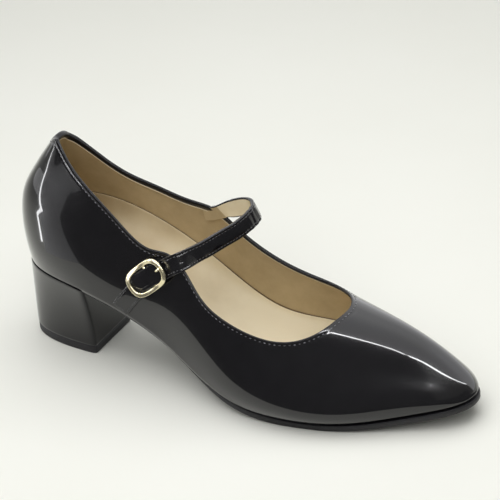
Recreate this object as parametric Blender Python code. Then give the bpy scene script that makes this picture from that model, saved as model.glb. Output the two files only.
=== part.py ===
"""A right strap pump: hollow upper, instep strap with its buckle, insole, outsole, heel and top piece.

Metres, +Z up. +X runs from heel to toe, +Y to the medial side, -Y to the lateral side, where the
buckle is. The origin is on the floor, under the middle of the shoe's box.
"""

from collections import namedtuple

import bpy
import numpy as np

MM = 0.001

# Driving sizes of the last and of what is built on it.
LENGTH = 250 * MM
BALL_WIDTH = 78 * MM
HEEL_HEIGHT = 49 * MM
INSTEP = 60 * MM
WALL = 1.6 * MM
GAP = 0.3 * MM

# Round ends of the last in plan, as radii at its feather edge, its bulge and its shoulder.
HEEL_RADIUS = {"feather": 17 * MM, "bulge": 22 * MM, "shoulder": 16 * MM}
TOE_RADIUS = {"feather": 12 * MM, "bulge": 14 * MM, "shoulder": 9 * MM}
TOE_RIDGE_RADIUS = 7 * MM
# How high each level still stands round the toe's tip, as shares of the ridge there.
TIP_RISES = {"ridge": 1.0, "shoulder": 0.72, "bulge": 0.30}
TOE_SWING = 3 * MM

# The last's sections. station is a share of the length. seat is the bottom's height, a share of the
# heel height. The half widths are shares of the ball width, and the rises above the seat are shares
# of the instep: the bulge is where the section is widest, the shoulder where it turns to the ridge.
Section = namedtuple(
    "Section",
    "station seat centre feather_lateral feather_medial bulge_lateral bulge_medial"
    " shoulder_lateral shoulder_medial bulge shoulder ridge",
)
SECTIONS = (
    Section(0.08, 0.965, -0.010, 0.275, 0.300, 0.305, 0.310, 0.155, 0.155, 0.38, 1.13, 2.08),
    Section(0.20, 0.920, -0.030, 0.345, 0.335, 0.355, 0.340, 0.205, 0.200, 0.34, 1.04, 1.82),
    Section(0.36, 0.580, -0.030, 0.365, 0.320, 0.365, 0.335, 0.275, 0.290, 0.30, 0.91, 1.60),
    Section(0.52, 0.190, -0.060, 0.455, 0.370, 0.485, 0.410, 0.330, 0.350, 0.26, 0.82, 1.22),
    Section(0.66, 0.072, -0.025, 0.470, 0.440, 0.560, 0.480, 0.345, 0.390, 0.21, 0.65, 0.90),
    Section(0.80, 0.106, 0.012, 0.400, 0.375, 0.465, 0.410, 0.290, 0.290, 0.16, 0.44, 0.70),
    Section(0.92, 0.205, 0.036, 0.255, 0.225, 0.275, 0.250, 0.170, 0.170, 0.11, 0.27, 0.40),
)

# How far forward the last's back lies, by the height above the seat.
BackPoint = namedtuple("BackPoint", "rise forward")
BACK_CURVE = (
    BackPoint(0 * MM, 1.0 * MM),
    BackPoint(24 * MM, -0.8 * MM),
    BackPoint(46 * MM, 3.5 * MM),
    BackPoint(70 * MM, 19.0 * MM),
)
BACK_FADE = 6

# The topline, as the share of each side's way from feather edge to ridge that the leather covers.
# It closes over the ridge at the throat.
THROAT = 0.735
TopPoint = namedtuple("TopPoint", "station lateral medial")
TOPLINE = (
    TopPoint(0.000, 0.530, 0.530),
    TopPoint(0.020, 0.556, 0.503),
    TopPoint(0.060, 0.563, 0.486),
    TopPoint(0.120, 0.518, 0.449),
    TopPoint(0.200, 0.447, 0.357),
    TopPoint(0.270, 0.368, 0.340),
    TopPoint(0.340, 0.313, 0.363),
    TopPoint(0.385, 0.370, 0.425),
    TopPoint(0.420, 0.36, 0.460),
    TopPoint(0.460, 0.26, 0.420),
    TopPoint(0.520, 0.19, 0.350),
    TopPoint(0.600, 0.10, 0.210),
    TopPoint(0.660, 0.00, 0.120),
    TopPoint(0.735, -0.10, 0.080),
)

# Half the columns round the upper, and its rows from feather edge to topline.
UPPER_COLUMNS = 48
UPPER_ROWS = 10

# How finely a section's side is walked to find a share of its way, and how finely an outline is drawn.
SECTION_STEPS = 41
OUTLINE_STEPS = 241
WALL_STEPS = 50
LOW_SHARE = 0.35
SMALL_TURN = 0.001

# The insole is a padded board, thinner in the toe and cupped to its edges under the heel and the arch.
# rise is its middle's height over the seat, edge its edge's, inset its way in from the last.
InsolePoint = namedtuple("InsolePoint", "station rise edge inset")
INSOLE_POINTS = (
    InsolePoint(0.00, 10.0 * MM, 18.0 * MM, 2.9 * MM),
    InsolePoint(0.35, 10.5 * MM, 21.0 * MM, 2.6 * MM),
    InsolePoint(0.50, 9.0 * MM, 17.0 * MM, 2.6 * MM),
    InsolePoint(0.64, 7.0 * MM, 12.0 * MM, 2.6 * MM),
    InsolePoint(0.80, 4.0 * MM, 6.0 * MM, 2.8 * MM),
    InsolePoint(1.00, 1.5 * MM, 1.5 * MM, 5.0 * MM),
)

# The share of its length over which the insole's middle runs, how far out its dished rings lie, and
# half the points round it.
INSOLE_SPINE = 0.85
INSOLE_RINGS = (0.85, 0.6, 0.3)
INSOLE_HALF = 30

# The outsole starts at the heel's breast. margin is how far it stands out past the feather edge.
SOLE_THICKNESS = 3.4 * MM
SOLE_BEVEL = 0.5 * MM
SoleMargin = namedtuple("SoleMargin", "station margin")
SOLE_MARGINS = (
    SoleMargin(0.16, -3.0 * MM),
    SoleMargin(0.40, -2.6 * MM),
    SoleMargin(0.55, -0.6 * MM),
    SoleMargin(0.68, 0.5 * MM),
    SoleMargin(1.00, 0.8 * MM),
)
SOLE_HALF = 34

# The heel block runs from the seat's outline to a D shape on the top piece, and it turns a little
# outwards from the shoe's long axis.
BREAST = 0.178
HEEL_FRONT = 43.0 * MM
HEEL_BACK = 0.0 * MM
HEEL_HALF_WIDTH = 17.8 * MM
HEEL_MIDDLE = 1.0 * MM
HEEL_ROUNDNESS = 2.6
HEEL_FLARE = 1.5
HEEL_TURN = np.radians(2)
LIFT_HEIGHT = 4.7 * MM
LIFT_INSET = 0.2 * MM
HEEL_HALF = 16
HEEL_LEVELS = 8

# The strap's free run from the medial topline over the instep: where its middle is, in mm, which way
# its upper edge lies from there, and its width.
STRAP_WIDTH = 10.0 * MM
STRAP_THICKNESS = 1.9 * MM
STRAP_STEPS = 60
STRIP_EASE = 0.3
StrapPoint = namedtuple("StrapPoint", "forward side up edge_forward edge_side edge_up width")
STRAP_RUN = (
    StrapPoint(106.0, 17.6, 81.5, -0.77, 0.00, 0.64, 8.6),
    StrapPoint(109.8, 19.3, 82.6, -0.45, 0.08, 0.90, 9.5),
    StrapPoint(115.6, 21.5, 84.0, -0.34, 0.10, 0.94, 10.0),
    StrapPoint(121.4, 22.5, 84.2, -0.40, 0.00, 0.92, 10.0),
    StrapPoint(124.2, 19.3, 83.9, -0.33, -0.12, 0.94, 10.0),
    StrapPoint(124.2, 15.0, 82.9, -0.28, -0.18, 0.95, 10.0),
    StrapPoint(121.0, 7.0, 80.5, -0.26, -0.24, 0.94, 10.0),
    StrapPoint(117.0, -0.5, 79.0, -0.26, -0.24, 0.94, 10.0),
    StrapPoint(112.3, -9.6, 77.5, -0.27, -0.22, 0.94, 10.0),
    StrapPoint(107.5, -17.5, 76.2, -0.35, -0.18, 0.92, 10.0),
)
# The rest of the strap, the buckle and its tab lie on the lateral quarter.
QuarterPoint = namedtuple("QuarterPoint", "turn share off")
STRAP_LAY = (
    QuarterPoint(0.4430, 0.545, 2.0 * MM),
    QuarterPoint(0.4330, 0.493, 1.5 * MM),
    QuarterPoint(0.4208, 0.426, 1.5 * MM),
    QuarterPoint(0.4143, 0.394, 2.7 * MM),
    QuarterPoint(0.4088, 0.367, 3.2 * MM),
    QuarterPoint(0.3980, 0.314, 3.2 * MM),
    QuarterPoint(0.3880, 0.266, 3.1 * MM),
    QuarterPoint(0.3820, 0.237, 3.0 * MM),
)
TAB_THICKNESS = 1.3 * MM
TAB_WIDTH = 10.0 * MM
TAB_STEPS = 12
TAB_LAY = (
    QuarterPoint(0.3920, 0.280, 1.1 * MM),
    QuarterPoint(0.3826, 0.217, 1.1 * MM),
    QuarterPoint(0.3700, 0.143, 1.1 * MM),
    QuarterPoint(0.3546, 0.055, 1.1 * MM),
)
BUCKLE_TURN = 0.398
BUCKLE_SHARE = 0.312
BUCKLE_LONG = 11.6 * MM
BUCKLE_SHORT = 8.3 * MM
BUCKLE_ROUNDNESS = 2.6
FRAME_WIDTH = 2.2 * MM
FRAME_THICKNESS = 1.6 * MM
FRAME_SIDE_OFF = 1.7 * MM
FRAME_END_OFF = 4.7 * MM
FRAME_STEPS = 48
# The frame's section: the share of its width in from the outside, and the height as a share of its
# thickness.
FRAME_SECTION = ((0, 0), (0.35, 0.5), (0.65, 0.5), (1, 0), (0.65, -0.5), (0.35, -0.5))
BAR_RADIUS = 0.7 * MM
BAR_OFF = 1.3 * MM
# The prong's line and its hole's, as ways along the strap from the bar and off the quarter, in mm.
PRONG_LINE = ((1.1, 1.2), (4.5, 1.25), (6.2, 2.3), (7.4, 4.6), (8.8, 6.3), (11.2, 6.4))
PRONG_RADIUS = 0.6 * MM
PRONG_STEPS = 14
HOLE_AXIS = ((4.65, -0.05), (8.65, 6.35))
HOLE_RADIUS = 1.1 * MM
ROD_SIDES = 10

# colour (linear), metallic, roughness
PATENT = ("patent leather", (0.010, 0.009, 0.012), 0.0, 0.08)
COVER = ("heel cover leather", (0.012, 0.011, 0.014), 0.0, 0.25)
SOCK = ("sock leather", (0.52, 0.42, 0.27), 0.0, 0.6)
SOLE_RUBBER = ("sole rubber", (0.018, 0.016, 0.020), 0.0, 0.55)
LIFT_RUBBER = ("top piece rubber", (0.022, 0.021, 0.026), 0.0, 0.5)
GOLD = ("pale gold plate", (0.83, 0.72, 0.40), 1.0, 0.2)


def spline(knots, values, at):
    """A natural cubic spline through the values at the knots, straight beyond its ends."""
    knots = np.asarray(knots, float)
    values = np.asarray(values, float)
    at = np.asarray(at, float)
    steps = np.diff(knots)
    slopes = np.diff(values) / steps
    size = len(knots)
    system = np.eye(size)
    right = np.zeros(size)
    for i in range(1, size - 1):
        system[i, i - 1 : i + 2] = steps[i - 1], 2 * (steps[i - 1] + steps[i]), steps[i]
        right[i] = 6 * (slopes[i] - slopes[i - 1])
    bend = np.linalg.solve(system, right)
    inside = np.clip(at, knots[0], knots[-1])
    i = np.clip(np.searchsorted(knots, inside, side="right") - 1, 0, size - 2)
    h = steps[i]
    a = (knots[i + 1] - inside) / h
    b = 1 - a
    found = a * values[i] + b * values[i + 1]
    found = found + ((a**3 - a) * bend[i] + (b**3 - b) * bend[i + 1]) * h**2 / 6
    start = slopes[0] - steps[0] * bend[1] / 6
    end = slopes[-1] + steps[-1] * bend[-2] / 6
    return found + start * np.minimum(at - knots[0], 0) + end * np.maximum(at - knots[-1], 0)


def basis(at, count):
    """The clamped cubic B-spline weights of count control points, for each value of at from 0 to 1."""
    at = np.clip(np.asarray(at, float), 0, 1 - 1e-12)[..., None]
    inner = np.linspace(0, 1, count - 2)
    knots = np.concatenate([[0, 0, 0], inner, [1, 1, 1]])
    weights = ((at >= knots[:-1]) & (at < knots[1:])).astype(float)
    for degree in (1, 2, 3):
        spans = len(knots) - degree - 1
        left = knots[degree : degree + spans] - knots[:spans]
        right = knots[degree + 1 : degree + 1 + spans] - knots[1 : 1 + spans]
        rising = (at - knots[:spans]) / np.where(left > 0, left, 1) * (left > 0)
        falling = (knots[degree + 1 : degree + 1 + spans] - at) / np.where(right > 0, right, 1)
        weights = rising * weights[..., :spans] + falling * (right > 0) * weights[..., 1 : spans + 1]
    return weights


def station_of(turn):
    """The share of the length at a turn, which runs from 0 at the heel's back to 1 at the toe's tip."""
    return np.sin(np.pi / 2 * np.asarray(turn)) ** 2


def half_width(level, side, station):
    """The last's half width at a level, round at both ends of its length."""
    rows = SECTIONS
    knots = [0] + [row.station for row in rows] + [1]
    round_ends = [np.sqrt(row.station * (1 - row.station)) for row in rows]
    widths = [getattr(row, f"{level}_{side}") * BALL_WIDTH for row in rows]
    values = [w / r for w, r in zip(widths, round_ends)]
    values = [np.sqrt(2 * HEEL_RADIUS[level] * LENGTH)] + values + [np.sqrt(2 * TOE_RADIUS[level] * LENGTH)]
    return spline(knots, values, station) * np.sqrt(np.clip(station * (1 - station), 0, None))


def rise(level, station):
    """A level's height above the seat, which falls to nothing round the toe's tip."""
    knots = [row.station for row in SECTIONS] + [1]
    heights = [getattr(row, level) * INSTEP for row in SECTIONS]
    values = [h / np.sqrt(1 - row.station) for h, row in zip(heights, SECTIONS)]
    tip = TIP_RISES[level] * np.sqrt(2 * TOE_RIDGE_RADIUS * LENGTH)
    return spline(knots, values + [tip], station) * np.sqrt(np.clip(1 - station, 0, None))


def seat(station):
    """The height of the last's bottom above the floor."""
    knots = [row.station for row in SECTIONS]
    return spline(knots, [row.seat * HEEL_HEIGHT for row in SECTIONS], station)


def centre(station):
    """How far the last's middle lies to the medial side of its long axis."""
    knots = [0] + [row.station for row in SECTIONS] + [1]
    offsets = [0] + [row.centre * BALL_WIDTH for row in SECTIONS] + [TOE_SWING]
    return spline(knots, offsets, station)


def section_points(station, side):
    """The control points of one side of the sections, from feather edge to ridge: (..., 6, 2), as y and z."""
    feather = half_width("feather", side, station)
    bulge = half_width("bulge", side, station)
    shoulder = half_width("shoulder", side, station)
    low, high, ridge = (rise(level, station) for level in ("bulge", "shoulder", "ridge"))
    none = np.zeros_like(feather)
    across = np.stack([feather, bulge, bulge, shoulder, 0.5 * shoulder, none], -1)
    up = np.stack([none, 0.5 * low, 1.3 * low, high, ridge, ridge], -1)
    return np.stack([across, up], -1)


def leaned(station, height):
    """How far forward a point of the last lies, beyond its station, from its height above the seat."""
    forward = spline([p.rise for p in BACK_CURVE], [p.forward for p in BACK_CURVE], height)
    return forward * (1 - station) ** BACK_FADE


def last(turn, side, share):
    """Points of the last: side is -1 lateral or 1 medial, share runs from the feather edge to the ridge."""
    turn, side, share = np.broadcast_arrays(np.asarray(turn, float), side, share)
    station = station_of(turn)
    lateral = section_points(station, "lateral")
    medial = section_points(station, "medial")
    near = np.where((side < 0)[..., None, None], lateral, medial)
    far = np.where((side < 0)[..., None, None], medial, lateral)
    control = np.concatenate([near, far[..., -2::-1, :] * (-1, 1)], -2)
    count = control.shape[-2]
    trial = np.linspace(0, 0.5, SECTION_STEPS)
    path = np.einsum("kc,...cd->...kd", basis(trial, count), control)
    steps = np.linalg.norm(np.diff(path, axis=-2), axis=-1)
    length = np.concatenate([np.zeros(steps.shape[:-1] + (1,)), np.cumsum(steps, -1)], -1)
    length = length / np.maximum(length[..., -1:], 1e-12)
    rows = zip(share.reshape(-1), length.reshape(-1, SECTION_STEPS))
    where = np.array([np.interp(wanted, row, trial) for wanted, row in rows])
    weights = basis(where.reshape(share.shape), count)
    yz = np.einsum("...c,...cd->...d", weights, control)
    x = station * LENGTH + leaned(station, yz[..., 1])
    y = centre(station) + side * yz[..., 0]
    return np.stack([x, y, seat(station) + yz[..., 1]], -1)


def top_share(turn, side):
    """The topline's share at a turn, before it closes at the throat."""
    knots = [p.station for p in TOPLINE]
    lateral = spline(knots, [p.lateral for p in TOPLINE], station_of(turn))
    medial = spline(knots, [p.medial for p in TOPLINE], station_of(turn))
    return np.where(np.asarray(side) < 0, lateral, medial)


def turn_of(station):
    """The turn at a station."""
    return 2 / np.pi * np.arcsin(np.sqrt(station))


THROAT_TURN = turn_of(THROAT)
BREAST_TURN = turn_of(BREAST)


def upper_place(column, row):
    """(turn, side, share) of the upper's grid.

    column runs round the shoe from -1 to 1, 0 at the heel's back and 1 or -1 at the toe's tip, and
    row from 0 at the feather edge to 1 at the topline.
    """
    way = np.abs(column)
    side = np.where(column < 0, -1, 1)
    top_turn = THROAT_TURN * np.sin(np.pi / 2 * way)
    top = 1 - (1 - top_share(top_turn, side)) * np.cos(np.pi / 2 * way)
    turn = way + (top_turn - way) * row
    low = np.cos(np.pi / 2 * way)
    high = (1 - top) * np.cos(np.pi / 2 * top_turn)
    left = low + (high - low) * row
    share = 1 - left / np.maximum(np.cos(np.pi / 2 * turn), 1e-9)
    return turn, side, np.where(row > 0, np.clip(share, 0, 1), 0)


def form_normal(turn, side, share):
    """The outward normal of the last at a place on it."""
    step = SMALL_TURN
    share = np.clip(share, step, 1 - step)
    turn = np.clip(turn, step, 1 - step)
    along = last(turn + step, side, share) - last(turn - step, side, share)
    up = last(turn, side, share + step) - last(turn, side, share - step)
    normal = np.cross(up, along) * np.asarray(side, float)[..., None]
    return normal / np.linalg.norm(normal, axis=-1, keepdims=True)


def grid_normals(grid):
    """Normals of a closed-round grid of points, rows by columns, from its neighbours."""
    around = np.roll(grid, -1, 1) - np.roll(grid, 1, 1)
    up = np.gradient(grid, axis=0)
    normal = np.cross(up, around)
    return normal / np.linalg.norm(normal, axis=-1, keepdims=True)


def width_at(turn, side, height):
    """The last's half width at a height above the seat, on one side."""
    shares = np.linspace(0, LOW_SHARE, WALL_STEPS)
    path = last(turn[:, None], side, shares[None])
    across = np.abs(path[..., 1] - centre(station_of(turn))[:, None])
    above = path[..., 2] - seat(station_of(turn))[:, None]
    return np.array([np.interp(*row) for row in zip(height, above, across)])


def plan_outline(turns, height, margin):
    """The last's outline at a height above the seat, moved out by a margin.

    Height and margin are one number or one for each turn. It gives x, y of the lateral and of the
    medial side.
    """
    fine = np.linspace(0, 1, OUTLINE_STEPS)
    heights = np.interp(fine, turns, np.broadcast_to(height, len(turns)))
    margins = np.interp(fine, turns, np.broadcast_to(margin, len(turns)))
    stations = station_of(fine)
    x = stations * LENGTH + leaned(stations, heights)
    sides = []
    for side in (-1, 1):
        y = centre(stations) + side * width_at(fine, side, heights)
        along_x = np.gradient(x)
        along_y = np.gradient(y)
        along_x[[0, -1]] = 0
        size = np.hypot(along_x, along_y)
        out_x = -side * along_y / size
        out_y = side * along_x / size
        moved = (x + margins * out_x, y + margins * out_y)
        sides.append(np.stack([np.interp(turns, fine, line) for line in moved], -1))
    return sides


def make_material(finish):
    """A plain Principled material from a name, colour, metallic and roughness."""
    name, colour, metallic, roughness = finish
    material = bpy.data.materials.get(name) or bpy.data.materials.new(name)
    material.use_nodes = True
    shader = material.node_tree.nodes["Principled BSDF"]
    shader.inputs["Base Color"].default_value = (*colour, 1)
    shader.inputs["Metallic"].default_value = metallic
    shader.inputs["Roughness"].default_value = roughness
    return material


def signed_volume(points, faces):
    """The volume inside the faces, below nothing where they point inwards."""
    total = 0.0
    for face in faces:
        for b, c in zip(face[1:], face[2:]):
            total += np.dot(points[face[0]], np.cross(points[b], points[c])) / 6
    return total


def make_solid(name, points, faces, finish):
    """An object from points (in metres) and faces, turned to point outwards."""
    points = np.asarray(points, float)
    if signed_volume(points, faces) < 0:
        faces = [face[::-1] for face in faces]
    mesh = bpy.data.meshes.new(name)
    mesh.from_pydata([tuple(p) for p in points], [], [list(map(int, face)) for face in faces])
    mesh.materials.append(make_material(finish))
    mesh.shade_smooth()
    mesh.set_sharp_from_angle(angle=np.radians(35))
    solid = bpy.data.objects.new(name, mesh)
    bpy.context.scene.collection.objects.link(solid)
    return solid


def band(first, second, size):
    """Quads between two closed rings of point numbers."""
    return [
        (first + i, first + (i + 1) % size, second + (i + 1) % size, second + i) for i in range(size)
    ]


def ladder(near, far):
    """Faces between paired point numbers of two sides, as rungs, with a triangle where they meet."""
    faces = []
    for corners in zip(near, near[1:], far[1:], far):
        face = [corner for k, corner in enumerate(corners) if corner not in corners[:k]]
        if len(face) > 2:
            faces.append(tuple(face))
    return faces


def stack(rings, near, far):
    """Points and faces of a solid: closed rings one on another, capped by rungs between near and far."""
    size = len(rings[0])
    faces = []
    for level in range(len(rings) - 1):
        faces += band(level * size, (level + 1) * size, size)
    top = (len(rings) - 1) * size
    faces += [face[::-1] for face in ladder(near, far)]
    faces += ladder([top + i for i in near], [top + i for i in far])
    return np.concatenate(rings), faces


def make_upper():
    """The leather shell: an outer and an inner face a wall apart, open at the topline and underneath."""
    count = 2 * UPPER_COLUMNS
    columns = (np.arange(count) + UPPER_COLUMNS) % count / UPPER_COLUMNS - 1
    rows = np.linspace(0, 1, UPPER_ROWS + 1)
    column, row = np.meshgrid(columns, rows)
    outer = last(*upper_place(column, row))
    inner = outer - WALL * grid_normals(outer)
    rings = [*outer, *inner[::-1]]
    faces = []
    for level in range(len(rings)):
        faces += band(level * count, (level + 1) % len(rings) * count, count)
    return make_solid("upper", np.concatenate(rings), faces, PATENT)


def make_insole():
    """The padded insole, inside the upper and cupped towards its edges."""
    half = INSOLE_HALF
    turns = np.linspace(0, 1, half + 1)
    stations = station_of(turns)
    table = [p.station for p in INSOLE_POINTS]
    rises = spline(table, [p.rise for p in INSOLE_POINTS], stations)
    edges = spline(table, [p.edge for p in INSOLE_POINTS], stations)
    insets = spline(table, [p.inset for p in INSOLE_POINTS], stations)
    near = list(range(half + 1))
    far = [0] + [2 * half - i for i in range(1, half)] + [half]

    def closed(lateral, medial):
        return np.concatenate([lateral, medial[-2:0:-1]])

    low = closed(*plan_outline(turns, np.zeros(half + 1), -insets))
    high = closed(*plan_outline(turns, edges, -insets))
    bottom = closed(seat(stations), seat(stations)) + GAP / 2
    edge = closed(edges, edges)
    middle = closed(rises, rises)
    spine = closed(*[(high[near] + high[far]) / 2] * 2)
    spine[:, 0] = LENGTH / 2 + (spine[:, 0] - LENGTH / 2) * INSOLE_SPINE
    rings = [np.column_stack([low, bottom]), np.column_stack([high, bottom + edge])]
    for share in INSOLE_RINGS:
        flat = spine + (high - spine) * share
        rings.append(np.column_stack([flat, bottom + middle + (edge - middle) * share**2]))
    points, faces = stack(rings, near, far)
    return make_solid("insole", points, faces, SOCK)


def make_outsole():
    """The thin sole, from the heel's breast to the toe, flat on the floor under the ball."""
    half = SOLE_HALF
    turns = np.linspace(BREAST_TURN, 1, half + 1)
    stations = station_of(turns)
    margins = spline([m.station for m in SOLE_MARGINS], [m.margin for m in SOLE_MARGINS], stations)
    top = seat(stations) - GAP
    low = np.maximum(top - SOLE_THICKNESS, 0)

    def ring(inset, depth):
        lateral, medial = plan_outline(turns, np.zeros(half + 1), margins - inset)
        flat = np.concatenate([lateral, medial[-2::-1]])
        flat[:, 0] = np.maximum(flat[:, 0], BREAST * LENGTH + leaned(BREAST, 0) + GAP)
        height = top - (top - low) * depth
        return np.column_stack([flat, np.concatenate([height, height[-2::-1]])])

    near = list(range(half + 1))
    far = [2 * half - i for i in range(half)] + [half]
    rings = [ring(SOLE_BEVEL, 1), ring(0, 0.8), ring(0, 0)]
    points, faces = stack(rings, near, far)
    return make_solid("outsole", points, faces, SOLE_RUBBER)


def heel_ring(places, inset):
    """The D shape at the heel's foot, from its lateral front corner round the back: x, y."""
    power = 2 / HEEL_ROUNDNESS
    angle = places * np.pi / 2
    reach = (HEEL_FRONT - HEEL_BACK - 2 * inset) * np.cos(angle) ** power
    x = HEEL_FRONT - inset - reach
    y = HEEL_MIDDLE + (HEEL_HALF_WIDTH - inset) * np.sign(angle) * np.abs(np.sin(angle)) ** power
    cos, sin = np.cos(HEEL_TURN), np.sin(HEEL_TURN)
    return np.stack([x * cos + y * sin, y * cos - x * sin], -1)


def heel_places():
    """Where the heel's ring has its points, and the pairs of the rungs across it."""
    half = HEEL_HALF
    places = np.linspace(-1, 1, 2 * half + 1)
    return places, list(range(half + 1)), [2 * half - i for i in range(half + 1)]


def make_heel():
    """The block heel, from under the seat to the top piece."""
    places, near, far = heel_places()
    turns = np.linspace(0, BREAST_TURN, len(near))
    lateral, medial = plan_outline(turns, np.zeros(len(near)), 0)
    top = np.concatenate([lateral[::-1], medial[1:]])
    high = np.concatenate([turns[::-1], turns[1:]])
    high = seat(station_of(high)) - GAP
    foot = heel_ring(places, 0)
    rings = []
    for share in np.linspace(1, 0, HEEL_LEVELS):
        eased = 1 - (1 - share) ** HEEL_FLARE
        flat = top + (foot - top) * eased
        low = LIFT_HEIGHT + GAP
        rings.append(np.column_stack([flat, high + (low - high) * share]))
    points, faces = stack(rings, near, far)
    return make_solid("heel", points, faces, COVER)


def make_toplift():
    """The wear layer under the heel block, flat on the floor."""
    places, near, far = heel_places()
    rings = [
        np.column_stack([heel_ring(places, LIFT_INSET + bevel), np.full(len(places), height)])
        for bevel, height in ((SOLE_BEVEL, 0), (0, SOLE_BEVEL), (0, LIFT_HEIGHT))
    ]
    points, faces = stack(rings, near, far)
    return make_solid("toplift", points, faces, LIFT_RUBBER)


def smooth_path(points, count):
    """Points and unit directions evenly along a natural spline through the given points."""
    points = np.asarray(points, float)
    steps = np.linalg.norm(np.diff(points[:, :3], axis=0), axis=1)
    knots = np.concatenate([[0], np.cumsum(steps)])
    at = np.linspace(0, knots[-1], count)
    path = np.stack([spline(knots, points[:, k], at) for k in range(points.shape[1])], -1)
    along = np.gradient(path[:, :3], axis=0)
    return path, along / np.linalg.norm(along, axis=1, keepdims=True)


def unit(vectors):
    """The vectors at length one."""
    return vectors / np.linalg.norm(vectors, axis=-1, keepdims=True)


def strip(middle, along, rear, widths, thickness):
    """Rings of a flat strip with eased edges: middle line, directions, and the way to its rear edge."""
    rear = unit(rear)
    up = unit(np.cross(along, rear))
    ease = STRIP_EASE * thickness
    rings = []
    for place, across, off, width in zip(middle, rear, up, np.broadcast_to(widths, len(middle))):
        wide, high = width / 2, thickness / 2
        outline = [
            (wide, ease - high),
            (wide, high - ease),
            (wide - ease, high),
            (ease - wide, high),
            (-wide, high - ease),
            (-wide, ease - high),
            (ease - wide, -high),
            (wide - ease, -high),
        ]
        rings.append(np.array([place + across * a + off * o for a, o in outline]))
    return rings


def quarter_points(lay):
    """The places and normals of points laid on the lateral quarter."""
    turn = np.array([p.turn for p in lay])
    share = np.array([p.share for p in lay])
    off = np.array([p.off for p in lay])
    side = np.full(len(lay), -1)
    normal = form_normal(turn, side, share)
    return last(turn, side, share) + normal * off[:, None], normal


def strap_route():
    """The strap's middle line, the way to its upper edge and its width, from its root to its tip."""
    laid, normal = quarter_points(STRAP_LAY)
    along = unit(np.gradient(laid, axis=0))
    rear = np.cross(along, normal)
    run = np.array(STRAP_RUN)
    run[:, [0, 1, 2, 6]] *= MM
    widths = np.full((len(laid), 1), STRAP_WIDTH)
    return np.concatenate([run, np.concatenate([laid, unit(rear), widths], 1)])


def strap_rings():
    """The strap's rings from its root to its rounded tip."""
    route, along = smooth_path(strap_route(), STRAP_STEPS)
    left = np.linalg.norm(route[:, :3] - route[-1, :3], axis=1)
    tip = np.clip(1 - left / (STRAP_WIDTH / 2), 0, 0.93)
    widths = route[:, 6] * np.sqrt(1 - tip**2)
    return strip(route[:, :3], along, route[:, 3:6], widths, STRAP_THICKNESS)


def make_strap():
    """The instep strap, with the hole that the buckle's prong goes through."""
    points, faces = stack(strap_rings(), [0, 1, 2, 3], [7, 6, 5, 4])
    strap = make_solid("strap", points, faces, PATENT)
    middle, long, _, normal = buckle_axes()
    ends = [middle + long * along * MM + normal * off * MM for along, off in HOLE_AXIS]
    join(strap, make_rod("prong hole", ends, HOLE_RADIUS, 2), "DIFFERENCE")
    return strap


def tab_rings():
    """The buckle tab's rings, from beside the centre bar to its stitched end."""
    middle, normal = quarter_points(TAB_LAY)
    path, along = smooth_path(np.concatenate([middle, normal], -1), TAB_STEPS)
    return strip(path[:, :3], along, np.cross(path[:, 3:], along), TAB_WIDTH, TAB_THICKNESS)


def make_tab():
    """The buckle's tab, stitched to the quarter."""
    points, faces = stack(tab_rings(), [0, 1, 2, 3], [7, 6, 5, 4])
    return make_solid("buckle_tab", points, faces, PATENT)


def buckle_axes():
    """The buckle's middle on the quarter, its long axis along the strap, its short axis and its normal."""
    laid, _ = quarter_points(STRAP_LAY)
    turn, share, side = np.array([BUCKLE_TURN]), np.array([BUCKLE_SHARE]), np.array([-1])
    middle = last(turn, side, share)[0]
    normal = form_normal(turn, side, share)[0]
    long = laid[2] - laid[-1]
    long = unit(long - np.dot(long, normal) * normal)
    return middle, long, np.cross(normal, long), normal


def make_frame():
    """The oval frame, raised at both ends to clear the strap, with its centre bar."""
    middle, long, short, normal = buckle_axes()
    count = FRAME_STEPS
    angles = np.arange(count) * 2 * np.pi / count
    power = 2 / BUCKLE_ROUNDNESS
    reach = np.sign(np.cos(angles)) * np.abs(np.cos(angles)) ** power
    sway = np.sign(np.sin(angles)) * np.abs(np.sin(angles)) ** power
    off = FRAME_SIDE_OFF + (FRAME_END_OFF - FRAME_SIDE_OFF) * (1 - (1 - reach**2) ** 2)
    rings = []
    for inset, lift in FRAME_SECTION:
        a = BUCKLE_LONG - inset * FRAME_WIDTH
        b = BUCKLE_SHORT - inset * FRAME_WIDTH
        height = off + lift * FRAME_THICKNESS
        ring = middle + np.outer(a * reach, long) + np.outer(b * sway, short) + np.outer(height, normal)
        rings.append(ring)
    faces = []
    for level in range(len(rings)):
        faces += band(level * count, (level + 1) % len(rings) * count, count)
    frame = make_solid("buckle_frame", np.concatenate(rings), faces, GOLD)
    reach = BUCKLE_SHORT - 0.5 * FRAME_WIDTH
    ends = [middle + normal * BAR_OFF + short * way * reach for way in (-1, 1)]
    bar = make_rod("bar", ends, BAR_RADIUS, 2)
    join(frame, bar, "UNION")
    return frame


def make_rod(name, points, radius, count):
    """A round rod through the points."""
    path, along = smooth_path(points, count)
    helper = unit(np.cross(along, unit(np.array([0.31, 0.17, 0.93]))))
    other = np.cross(along, helper)
    angles = np.arange(ROD_SIDES) * 2 * np.pi / ROD_SIDES
    rings = [
        p + radius * (np.outer(np.cos(angles), h) + np.outer(np.sin(angles), o))
        for p, h, o in zip(path, helper, other)
    ]
    half = ROD_SIDES // 2
    points, faces = stack(rings, [*range(half + 1)], [0, *range(ROD_SIDES - 1, half - 1, -1)])
    return make_solid(name, points, faces, GOLD)


def join(target, tool, operation):
    """Joins a tool to a target or cuts it away, and leaves the tool out of the part."""
    tool.hide_render = True
    tool.display_type = "WIRE"
    modifier = target.modifiers.new(f"{operation.lower()} {tool.name}", "BOOLEAN")
    modifier.operation = operation
    modifier.solver = "EXACT"
    modifier.object = tool


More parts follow.
